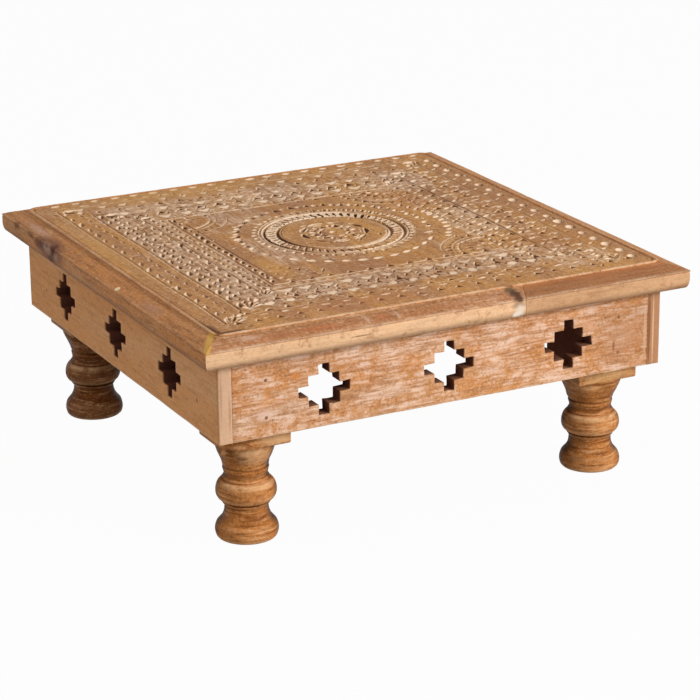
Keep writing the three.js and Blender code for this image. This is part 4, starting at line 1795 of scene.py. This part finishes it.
@dataclass
class TurnedLegs:
    """Four legs, each turned below a square block from one length of wood."""

    centre: float = 165.55
    block_width: float = 58.0
    block_depth: float = 54.0
    block_foot: float = 84.0
    block_top: float = 168.1
    chamfer: float = 1.6
    segments: int = 80
    # The side of the legs that keeps its colour; they are painted darker as their surface turns away from it.
    bright_side: float = math.radians(-115)
    row_height: float = 1.9
    stroke: Triple = (12.0, 4.2, 10.0)
    stroke_slope: float = math.radians(40)
    stroke_depth: float = 1.1
    round_end: Point = (82.0, 84.0)
    cup_start: Point = (62.0, 66.0)
    shade_start: Point = (99.5, 102.5)
    shade_lines: Point = (99.0, 103.0)
    corner_place: Triple = (0.0, -27.0, 84.0)
    corner_facing: Triple = (-0.439, -0.495, -0.749)
    hand_turn: float = 0.7
    shading: float = 36.0
    first_seed: int = 60

    def section(self) -> list[Point]:
        """The turning's half section, as radius and height, from the floor up.

        Returns:
            The points.
        """
        return [
            (12.0, 0.0), (20.0, 0.0), (22.8, 0.1), (24.2, 0.5), (25.3, 1.6), (26.0, 3.2), (26.4, 5.2),
            (26.4, 7.0), (26.1, 9.0), (25.6, 10.8), (25.1, 12.2), (24.2, 13.4), (22.8, 15.0), (21.2, 17.0),
            (20.0, 19.2), (19.1, 21.6), (18.6, 24.0), (18.4, 26.4), (18.4, 28.2), (18.9, 29.2), (19.8, 30.0),
            (20.2, 30.6), (19.9, 31.2), (18.8, 31.6), (18.9, 32.0), (20.6, 32.6), (22.3, 33.4), (23.7, 34.8),
            (24.7, 36.6), (25.3, 38.8), (25.4, 41.0), (25.2, 43.2), (24.6, 45.6), (23.6, 47.6), (22.2, 49.2),
            (20.8, 50.1), (19.2, 50.5), (18.9, 50.9), (19.5, 51.3), (19.9, 51.9), (19.5, 52.5), (18.8, 53.2),
            (18.4, 54.4), (18.2, 55.8), (18.5, 57.4), (19.0, 59.0), (19.4, 60.4), (19.3, 61.2), (18.8, 61.9),
            (19.1, 62.6), (20.6, 64.6), (22.1, 68.3), (23.8, 72.0), (25.2, 75.7), (26.3, 79.5), (26.8, 83.6),
            (26.9, 94.0),
        ]

    def rows(self) -> list[Point]:
        """The half section, with its long steps split up for the wear.

        Returns:
            The points.
        """
        section = self.section()
        rows = section[:1]
        for start, end in zip(section, section[1:]):
            parts = max(1, round((end[1] - start[1]) / self.row_height))
            for part in range(1, parts + 1):
                rows.append(tuple(np.add(start, np.subtract(end, start) * part / parts)))
        return rows

    def turning(self) -> Piece:
        """Turns a round blank to the section.

        Returns:
            The turned part, standing on the origin.
        """
        section = self.rows()
        height = section[-1][1]
        deselect()
        bpy.ops.mesh.primitive_cylinder_add(
            vertices=self.segments, radius=section[0][0] * MM, depth=height * MM,
            location=(0, 0, height / 2 * MM))
        turned = new_piece("turned_leg")
        vectors = edge_vectors(turned)
        with editing(turned, Mode.EDGE, np.abs(vectors[:, 2]) > height / 2):
            bpy.ops.mesh.subdivide(number_cuts=len(section) - 2)
        points = points_of(turned)
        ring = np.rint(points[:, 2] / height * (len(section) - 1)).astype(int)
        angle = np.arctan2(points[:, 1], points[:, 0])
        radii, heights = np.array(section)[ring].T
        move_points(turned, np.stack([radii * np.cos(angle), radii * np.sin(angle), heights], 1))
        return turned

    def block(self, corner_cut: bool) -> Piece:
        """Models the square block.

        Args:
            corner_cut: Whether its lower near left corner is carved away.

        Returns:
            The block.
        """
        deselect()
        middle = (self.block_foot + self.block_top) / 2
        bpy.ops.mesh.primitive_cube_add(size=1, location=(0, 0, middle * MM))
        block = bpy.context.object
        block.scale = [
            self.block_width * MM, self.block_depth * MM, (self.block_top - self.block_foot) * MM]
        block = new_piece("leg_block")
        add_and_apply(block, "BEVEL", width=self.chamfer * MM, segments=3, limit_method="NONE")
        for height in self.shade_lines:
            with editing(block, Mode.FACE):
                bpy.ops.mesh.bisect(plane_co=(0, 0, height * MM), plane_no=(0, 0, 1))
        if corner_cut:
            with editing(block, Mode.FACE):
                bpy.ops.mesh.bisect(
                    plane_co=[c * MM for c in self.corner_place], plane_no=self.corner_facing,
                    use_fill=True, clear_outer=True)
        return block

    def leg(self, name: str, x: float, y: float, spin: float, seed: int) -> Piece:
        """Models one leg.

        Args:
            name: The piece's name.
            x: Where its axis stands.
            y: Where its axis stands.
            spin: How far the turning is turned about its axis.
            seed: Which wear it has.

        Returns:
            The piece.
        """
        leg = self.turning()
        turn(leg, spin)
        nearest = name.endswith("front_left")
        block = self.block(nearest)
        add_and_apply(leg, "BOOLEAN", object=block, operation="UNION", solver="EXACT")
        bpy.data.objects.remove(block)
        leg.name = name
        leg.data.name = name
        self.weather(leg, points_of(leg), seed, nearest)
        leg.data.transform(Matrix.Translation((x * MM, y * MM, 0)))
        smooth(leg, self.shading)
        return leg

    def strokes(self, points: Values, seed: int) -> Values:
        """Slanting strokes of a knife, as the rough cup of the near leg has.

        Args:
            points: The leg's points.
            seed: Which strokes they are.

        Returns:
            The height left at each point, from 0 to 1.
        """
        across = points[:, 1] * math.cos(self.bright_side) - points[:, 0] * math.sin(self.bright_side)
        inward = -points[:, 0] * math.cos(self.bright_side) - points[:, 1] * math.sin(self.bright_side)
        slope, height = self.stroke_slope, points[:, 2]
        along = across * math.cos(slope) + height * math.sin(slope)
        rise = height * math.cos(slope) - across * math.sin(slope)
        return ramp(lattice_noise(np.stack([along, rise, inward], 1), self.stroke, seed), 0.2, 0.8)

    def weather(self, leg: Piece, points: Values, seed: int, hewn: bool) -> None:
        """Wears the leg's ridges, paints light and shade on it, and gives its turning an uneven, hand-turned
        surface.

        Args:
            leg: The leg, standing on the origin.
            points: Its points.
            seed: Which wear it has.
            hewn: Whether its cup is rough from the knife.
        """
        height = points[:, 2]
        round_part = 1 - ramp(height, *self.round_end)
        radius = np.hypot(points[:, 0], points[:, 1])
        angle = np.arctan2(points[:, 1], points[:, 0])
        wave = lattice_noise(np.stack([height, 9 * np.sin(angle), 9 * np.cos(angle)], 1), (9, 6, 6), seed)
        low = ramp(height, 0.3, 3)
        cup = ramp(height, *self.cup_start)
        change = round_part * low * (0.35 + 0.75 * cup) * (wave - 0.5)
        left = self.strokes(points, seed) if hewn else np.ones(len(points))
        change -= round_part * cup * self.stroke_depth * (1 - left)
        scale = 1 + np.where(radius > 1, change / np.maximum(radius, 1), 0)
        moved = points.copy()
        moved[:, :2] *= scale[:, None]
        move_points(leg, moved)
        heights, radii = np.array([(z, r) for r, z in self.section()]).T
        around = np.interp(height + 2.2, heights, radii) + np.interp(height - 2.2, heights, radii)
        bulge = np.interp(height, heights, radii) - around / 2
        corner = ramp(radius, 35, 38) * (1 - round_part)
        # Painted shade: the turning darkens as its surface turns away from the bright side, towards its
        # outlines and back.
        inward = -np.cos(angle - self.bright_side)
        # A painted highlight on the ring's rounded top, and a darker band on the neck above it.
        shoulder = 1.5 * np.exp(-((height - 50.0) / 1.7) ** 2) - 0.4 * np.exp(-((height - 57.5) / 3.0) ** 2)
        # Ridges are paled as wear and grooves darkened as painted shade.
        wear = np.clip(0.45 * bulge, -0.7, 0.6) + 0.6 * shoulder + 0.5 * cup * (wave - 0.1)
        if hewn:
            wear += cup * (1.2 * left - 0.2)
        store(leg, "wear", (wear - 0.95 * ramp(inward, -0.75, 0.0)) * round_part + 0.25 * corner)
        # Painted shade on the block above the apron's lower edge, behind the apron.
        store(leg, "hollow", 0.97 * ramp(height, *self.shade_start))

    def build(self, material: Material, dark: Material) -> None:
        """Models and dresses the legs.

        Args:
            material: Their finish.
            dark: The darker copy of their finish, with painted shade, for the back left leg.
        """
        places = (("front_left", -1, -1), ("front_right", 1, -1), ("back_left", -1, 1), ("back_right", 1, 1))
        for index, (label, hand_x, hand_y) in enumerate(places):
            leg = self.leg(
                f"turned_leg_{label}", hand_x * self.centre, hand_y * self.centre,
                index * self.hand_turn, self.first_seed + index)
            # The back left leg gets the darker copy: painted shade.
            finish = dark if label == "back_left" else material
            dress(leg, finish, [f"leg_{label}"])


# Studio

@dataclass
class Studio:
    """The floor, the lights and the camera."""

    floor_size: float = 12.0
    floor_white: float = 0.97
    paper: Colour = (184, 184, 184)
    sky: float = 0.5
    sky_tint: Triple = (1.0, 0.985, 0.965)
    key_place: Triple = (1.25, -2.35, 1.2)
    key_size: float = 0.8
    key_power: float = 60.5
    fill_place: Triple = (-2.2, 0.6, 1.6)
    fill_size: float = 1.6
    fill_power: float = 4.0
    aim: Triple = (0.0, 0.0, 0.12)
    camera_turns: Triple = (-27.2233, 18.9878, -0.5465)
    camera_place: Triple = (-1.0027, -1.9808, 0.8463)
    sensor_width: float = 36.0
    lens: float = 135.31

    def white_to_camera(self, tree: bpy.types.NodeTree, dull: Socket, output: Socket, share: float) -> None:
        """Lets the floor or the sky show white to the camera and in reflections, and leaves its light.

        Args:
            tree: The node tree.
            dull: The shader that the surface has.
            output: The output's input socket.
            share: How much of the white shows.
        """
        path = add_node(tree, "LightPath")
        seen = path.outputs["Is Camera Ray"]
        for name in ("Is Glossy Ray", "Is Transmission Ray"):
            either = add_node(tree, "Math")
            either.operation = "MAXIMUM"
            tree.links.new(seen, either.inputs[0])
            tree.links.new(path.outputs[name], either.inputs[1])
            seen = either.outputs[0]
        scaled = add_node(tree, "Math")
        scaled.operation = "MULTIPLY"
        tree.links.new(seen, scaled.inputs[0])
        scaled.inputs[1].default_value = share
        kind = "Emission" if share < 1 else "Background"
        white = add_node(tree, kind, Strength=1, Color=(1, 1, 1, 1))
        mixed = add_node(tree, "MixShader")
        tree.links.new(scaled.outputs[0], mixed.inputs[0])
        tree.links.new(dull, mixed.inputs[1])
        tree.links.new(white.outputs[0], mixed.inputs[2])
        tree.links.new(mixed.outputs[0], output)

    def make_floor(self) -> None:
        """Lays the pale floor."""
        deselect()
        bpy.ops.mesh.primitive_plane_add(size=self.floor_size, location=(0, 0, 0))
        floor = new_piece("studio_floor")
        material = bpy.data.materials.new("studio_paper")
        material.use_nodes = True
        tree = material.node_tree
        tree.nodes.clear()
        dull = add_node(tree, "BsdfDiffuse", Color=linear(self.paper))
        output = add_node(tree, "OutputMaterial")
        self.white_to_camera(tree, dull.outputs[0], output.inputs["Surface"], self.floor_white)
        floor.data.materials.append(material)

    def make_sky(self) -> None:
        """Fills the room with even pale light, and shows white behind the table."""
        world = bpy.data.worlds.new("studio_room")
        bpy.context.scene.world = world
        world.use_nodes = True
        tree = world.node_tree
        tree.nodes.clear()
        dull = add_node(tree, "Background", Color=(*self.sky_tint, 1), Strength=self.sky)
        output = add_node(tree, "OutputWorld")
        self.white_to_camera(tree, dull.outputs[0], output.inputs["Surface"], 1.0)

    def add_light(self, name: str, place: Triple, size: float, power: float) -> None:
        """Hangs a soft light that points at the table.

        Args:
            name: Its name.
            place: Where it hangs, in metres.
            size: How wide it is, in metres.
            power: Its power in watts.
        """
        light = bpy.data.lights.new(name, "AREA")
        light.shape = "DISK"
        light.size = size
        light.energy = power
        lamp = bpy.data.objects.new(name, light)
        bpy.context.scene.collection.objects.link(lamp)
        lamp.location = place
        beam = Vector(self.aim) - Vector(place)
        lamp.rotation_euler = beam.to_track_quat("-Z", "Y").to_euler()

    def add_camera(self) -> None:
        """Sets the camera where the photograph was taken from."""
        turned, raised, rolled = (math.radians(degrees) for degrees in self.camera_turns)
        back = Vector((
            math.sin(turned) * math.cos(raised), -math.cos(turned) * math.cos(raised), math.sin(raised)))
        level = Vector((math.cos(turned), math.sin(turned), 0))
        upright = back.cross(level)
        right = level * math.cos(rolled) + upright * math.sin(rolled)
        up = upright * math.cos(rolled) - level * math.sin(rolled)
        camera = bpy.data.cameras.new("photo_camera")
        camera.sensor_width = self.sensor_width
        camera.lens = self.lens
        camera.clip_end = 50
        holder = bpy.data.objects.new("photo_camera", camera)
        bpy.context.scene.collection.objects.link(holder)
        axes = Matrix((right, up, back)).transposed().to_4x4()
        holder.matrix_world = Matrix.Translation(self.camera_place) @ axes
        bpy.context.scene.camera = holder

    def build(self) -> None:
        """Sets up the room."""
        scene = bpy.context.scene
        scene.view_settings.view_transform = "Standard"
        self.make_floor()
        self.make_sky()
        self.add_light("key_light", self.key_place, self.key_size, self.key_power)
        self.add_light("fill_light", self.fill_place, self.fill_size, self.fill_power)
        self.add_camera()


# Finishes of this table's pieces

def mitre_filler() -> list[Blot]:
    """The yellow filler in the near left mitre, as a line of blots that overlap.

    Returns:
        The blots.
    """
    return [
        Blot(
            (-208.0 - 2.4 * step, -199.0 - 3.8 * step, 188.6 - 0.5 * step), (3.8, 5.0, 7.0),
            (220, 170, 84), 0.85, 0.6)
        for step in range(7)
    ]


def rail_finishes() -> dict[str, Material]:
    """The finish of each rail.

    Returns:
        The materials by rail.
    """
    along_x, along_y = (42.0, 3.4, 3.4), (3.4, 42.0, 3.4)
    common = {"marks": (Marks.WEAR, Marks.BARE), "roughness": 0.6}
    reds = {
        "body": (178, 130, 87), "dark": (142, 93, 58), "warm": (184, 125, 83), "wash": (210, 165, 130),
        "bare": (232, 187, 144), "wash_cover": 0.45, "streaks": 0.5, "mottle": 0.6}
    plain = {
        "body": (162, 109, 71), "dark": (133, 86, 52), "warm": (171, 112, 71), "wash": (187, 139, 101),
        "bare": (213, 168, 126), "wash_cover": 0.25, "streaks": 0.6, "mottle": 0.2}
    browns = {
        "body": (196, 136, 84), "dark": (150, 94, 54), "warm": (206, 138, 80), "wash": (222, 172, 123),
        "wash_cover": 0.3, "streaks": 0.6, "mottle": 0.55}
    front_blots = (
        Blot((57.5, -217, 187), (10, 14, 8), (146, 112, 92), 0.75, 0.8, 0.4),
        Blot((56, -210.5, 188), (7, 7, 6), (108, 86, 60), 0.9, 0.7, 0.4),
        Blot((57.5, -217.5, 187), (6.4, 8, 7), (80, 48, 32), 0.9, 0.7, 0.5),
        Blot((57.5, -223.5, 184.5), (6, 6, 6), (86, 56, 40), 0.9, 0.7, 0.5),
        Blot((56.5, -225, 179.5), (9, 5, 4), (168, 138, 112), 0.8, 0.7, 0.4),
        Blot((58, -225, 175.5), (6.5, 5, 6), (228, 208, 188), 0.85, 0.7, 0.5),
        Blot((55.5, -225, 171.5), (6, 5, 3.6), (236, 222, 206), 0.9, 0.7, 0.5),
        Blot((64.6, -225, 176), (1, 6, 7), (240, 214, 184), 0.8, 0.5, 0.1),
        Blot((-79.5, -217, 187), (2.6, 9, 5), (226, 196, 172), 0.4, 0.8, 0.5),
        Blot((-52.5, -217, 187), (2.6, 9, 5), (226, 196, 172), 0.4, 0.8, 0.5),
        Blot((-122, -217, 187), (26, 6, 6), (190, 106, 62), 0.4, 0.9, 0.5),
        Blot((-182, -215, 187), (15, 5, 5), (226, 188, 164), 0.5, 0.9, 0.6),
        Blot((-158, -219, 187), (14, 6, 5), (146, 90, 56), 0.5, 0.9, 0.6),
        Blot((-92, -215, 187), (10, 7, 5), (156, 92, 56), 0.5, 0.9, 0.6),
        Blot((-66, -215, 187), (9, 8, 5), (188, 112, 70), 0.5, 0.9, 0.6),
        Blot((-20, -218, 187), (22, 6, 5), (160, 104, 62), 0.4, 0.9, 0.6),
        Blot((-89, -225, 177), (12, 3, 0.8), (110, 70, 44), 0.7, 0.5, 0.4),
        *mitre_filler(),
    )
    left_blots = (
        Blot((-221.5, -40.9, 186.2), (3, 3.4, 3.2), (250, 222, 184), 1, 0.2, 0.08),
        Blot((-223, 106, 180.5), (13, 42, 17), (134, 88, 62), 0.95, 0.6, 0.35),
        Blot((-224.8, 130, 180), (8, 17, 7), (92, 50, 36), 0.85, 0.8, 0.5),
        Blot((-224, 98, 182.5), (8, 8.5, 8), (74, 38, 26), 0.9, 0.7, 0.5),
        Blot((-224.8, 106, 173), (8, 11, 5), (80, 44, 32), 0.85, 0.7, 0.5),
        Blot((-224.8, 112, 180.5), (8, 12, 7), (176, 140, 122), 0.85, 0.8, 0.6),
        Blot((-224.8, 113, 183), (8, 3.4, 2.6), (92, 54, 40), 0.8, 0.8, 0.6),
        Blot((-224.8, 91, 177.5), (8, 8, 5.5), (164, 136, 114), 0.75, 0.8, 0.6),
        Blot((-219, -105, 187), (9, 30, 6), (176, 140, 126), 0.35, 0.9, 0.5),
        Blot((-224.8, 187, 182.8), (5, 9, 5), (96, 52, 34), 0.7, 0.7, 0.5),
        Blot((-224.8, 152, 183.5), (5, 12, 4), (96, 52, 34), 0.6, 0.7, 0.5),
        *mitre_filler(),
        Blot((-218, 150, 188), (7, 40, 5), (226, 190, 176), 0.4, 0.9, 0.5),
    )
    return {
        "front_long": WornWood("rail_wood_long", along_x, **reds, **common, blots=front_blots, seed=1).make(),
        "front_short": WornWood("rail_wood_short", along_x, **plain, **common, seed=3).make(),
        "back": WornWood("rail_wood_back", along_x, **browns, **common, seed=5).make(),
        "left": WornWood("rail_wood_left", along_y, **browns, **common, blots=left_blots, seed=9).make(),
        "right": WornWood("rail_wood_right", along_y, **browns, **common, seed=13).make(),
    }


def apron_finishes() -> dict[Side, Material]:
    """The finish of each apron board.

    Returns:
        The materials by side.
    """
    along_x, along_y = (36.0, 3.6, 3.6), (3.6, 36.0, 3.6)
    marks = (Marks.WEAR, Marks.BARE, Marks.HOLLOW)
    front = {
        "body": (200, 148, 106), "dark": (164, 108, 68), "warm": (208, 142, 86), "wash": (238, 206, 184),
        "wash_cover": 0.65, "streaks": 0.6, "mottle": 0.65, "marks": marks}
    # The side boards are a paler mix of the same wood: painted light, making up for the shade that the sides
    # stand in.
    sides = {
        "body": (233, 174, 121), "dark": (198, 139, 89), "warm": (231, 164, 105), "wash": (235, 188, 147),
        "bare": (236, 202, 170), "wash_cover": 0.3, "streaks": 0.5, "mottle": 0.35, "marks": marks}
    front_blots = (
        Blot((-166.6, -206.8, 117.2), (9, 3, 6.5), (228, 190, 170), 0.7, 0.6, 0.5),
        Blot((-166.8, -206.8, 146.7), (5, 3, 4), (222, 182, 156), 0.5, 0.7, 0.5),
        Blot((-139.5, -206.8, 146.2), (6, 3, 4.5), (214, 132, 62), 0.6, 0.7, 0.5),
        Blot((-164.5, -206.8, 133), (5.5, 3, 11), (210, 138, 70), 0.5, 0.8, 0.5),
        Blot((134, -206.8, 145), (13, 3, 9), (206, 134, 72), 0.5, 0.8, 0.5),
        Blot((172, -206.8, 128), (22, 3, 20), (226, 186, 158), 0.35, 0.9, 0.5),
        Blot((161, -206.8, 122), (1.8, 3, 7), (110, 62, 34), 0.6, 0.7, 0.5),
        Blot((192.5, -206.8, 132), (1.8, 3, 32), (232, 196, 160), 0.7, 0.6, 0.2),
        Blot((190, -206.8, 133), (90, 4, 60), (150, 98, 60), 0.4, 0.9, 0.3),
    )
    left_end = (
        Blot((-201, -207.1, 133), (12, 3, 52), (202, 164, 134), 0.75, 0.5, 0.3),
        Blot((-204.6, -207.1, 139), (1.5, 3, 30), (166, 122, 92), 0.5, 0.8, 0.4),
        Blot((-197.4, -207.1, 124), (1.5, 3, 24), (160, 118, 88), 0.5, 0.8, 0.4),
    )
    right_end = (
        Blot((201.5, -207.1, 133), (12, 3, 56), (176, 126, 92), 0.85, 0.5, 0.3),
        Blot((196.6, -207.1, 133), (1.8, 3, 50), (132, 82, 52), 0.8, 0.6, 0.3),
        Blot((200.6, -207.1, 131), (1, 3, 46), (226, 184, 144), 0.8, 0.6, 0.3),
    )
    return {
        Side.FRONT: WornWood("apron_wood_front", along_x, **front, blots=front_blots, seed=21).make(),
        Side.BACK: WornWood("apron_wood_back", along_x, **front, seed=25).make(),
        Side.LEFT: WornWood("apron_wood_left", along_y, **sides, blots=left_end, seed=29).make(),
        Side.RIGHT: WornWood("apron_wood_right", along_y, **sides, blots=right_end, seed=33).make(),
    }


def plank_finish() -> Material:
    """The finish of the planks, with its broad stains.

    Returns:
        The material.
    """
    # Each stain is told by its place, its half width and height, its colour, and how it is laid on.
    stains = (
        (-88, -65, 17, 46, (210, 152, 80), 0.6, 0.8, 0.4),
        (-70, 192, 170, 34, (202, 152, 90), 0.5, 0.9, 0.6),
        (-70, -186, 110, 26, (182, 118, 78), 0.45, 0.9, 0.7),
        (-5, -98, 90, 26, (156, 102, 70), 0.4, 0.9, 0.6),
        (20, -138, 170, 34, (146, 96, 64), 0.34, 0.9, 0.5),
        (-10, 98, 110, 24, (156, 110, 82), 0.35, 0.9, 0.6),
        (108, 70, 36, 60, (176, 120, 80), 0.45, 0.9, 0.6),
        (-192, 60, 18, 150, (206, 156, 96), 0.45, 0.9, 0.6),
        (160, -110, 60, 50, (168, 112, 70), 0.5, 0.9, 0.6),
        (165, 40, 40, 150, (160, 108, 72), 0.3, 0.9, 0.5),
    )
    blots = tuple(Blot((x, y, 190.5), (wide, deep, 4), *rest) for x, y, wide, deep, *rest in stains)
    return WornWood(
        "plank_wood", (4.0, 34.0, 4.0), body=(183, 130, 84), dark=(136, 88, 52), warm=(204, 146, 82),
        pale=(246, 218, 188), shade=(78, 46, 26), wash=(220, 184, 154), wash_cover=0.36, streaks=0.3,
        mottle=0.68, marks=(Marks.WEAR, Marks.TONE, Marks.CHALK), blots=blots, relief=0.5, seed=41,
    ).make()


def leg_finishes() -> tuple[Material, Material]:
    """The finish of the legs, and a darker copy of it with painted shade for the back left leg.

    Returns:
        The two materials.
    """
    grain = (12.0, 12.0, 30.0)
    leg = {
        "body": (177, 114, 59), "dark": (104, 54, 20), "warm": (193, 122, 60), "wash": (217, 158, 102),
        "pale": (236, 188, 138), "shade": (58, 28, 10), "wash_cover": 0.2, "streaks": 0.2, "mottle": 0.6,
        "marks": (Marks.WEAR, Marks.HOLLOW), "roughness": 0.5, "turned": True}
    shaded_leg = {
        **leg, "body": (136, 79, 34), "dark": (85, 43, 15), "warm": (130, 73, 28),
        "wash": (158, 104, 56)}
    chips = (
        Blot((-169, -190, 76), (26, 16, 13), (222, 174, 126), 0.6, 0.8, 0.5),
        Blot((-187.5, -187, 80), (6, 14, 6.5), (84, 46, 20), 0.85, 0.7, 0.6),
        Blot((-150, -192.5, 90), (22, 4, 9), (216, 174, 128), 0.6, 0.8, 0.5),
        Blot((165, -192.5, 90), (34, 4, 9), (212, 168, 114), 0.5, 0.8, 0.5),
        Blot((-179, -188, 75), (7, 14, 2.4), (98, 56, 26), 0.7, 0.7, 0.6),
        Blot((-191, -187, 71), (5, 14, 2.2), (98, 56, 26), 0.7, 0.7, 0.6),
        Blot((-182, -187, 86), (7, 14, 2), (232, 190, 148), 0.5, 0.9, 0.7),
        Blot((-172, -187, 80.5), (12, 14, 3.4), (228, 182, 136), 0.5, 0.9, 0.7),
    )
    plain = WornWood("leg_wood", grain, **leg, blots=chips, seed=51).make()
    return plain, WornWood("leg_wood_shaded", grain, **shaded_leg, seed=55).make()


def main() -> None:
    """Builds the room, then the table's sub-assemblies one by one."""
    logging.basicConfig(level=logging.INFO)
    Studio().build()
    CarvedTop().build(plank_finish())
    MouldedFrame().build(rail_finishes())
    FretworkApron().build(apron_finishes(), DarkIron().make())
    TurnedLegs().build(*leg_finishes())


if __name__ == "__main__":
    main()
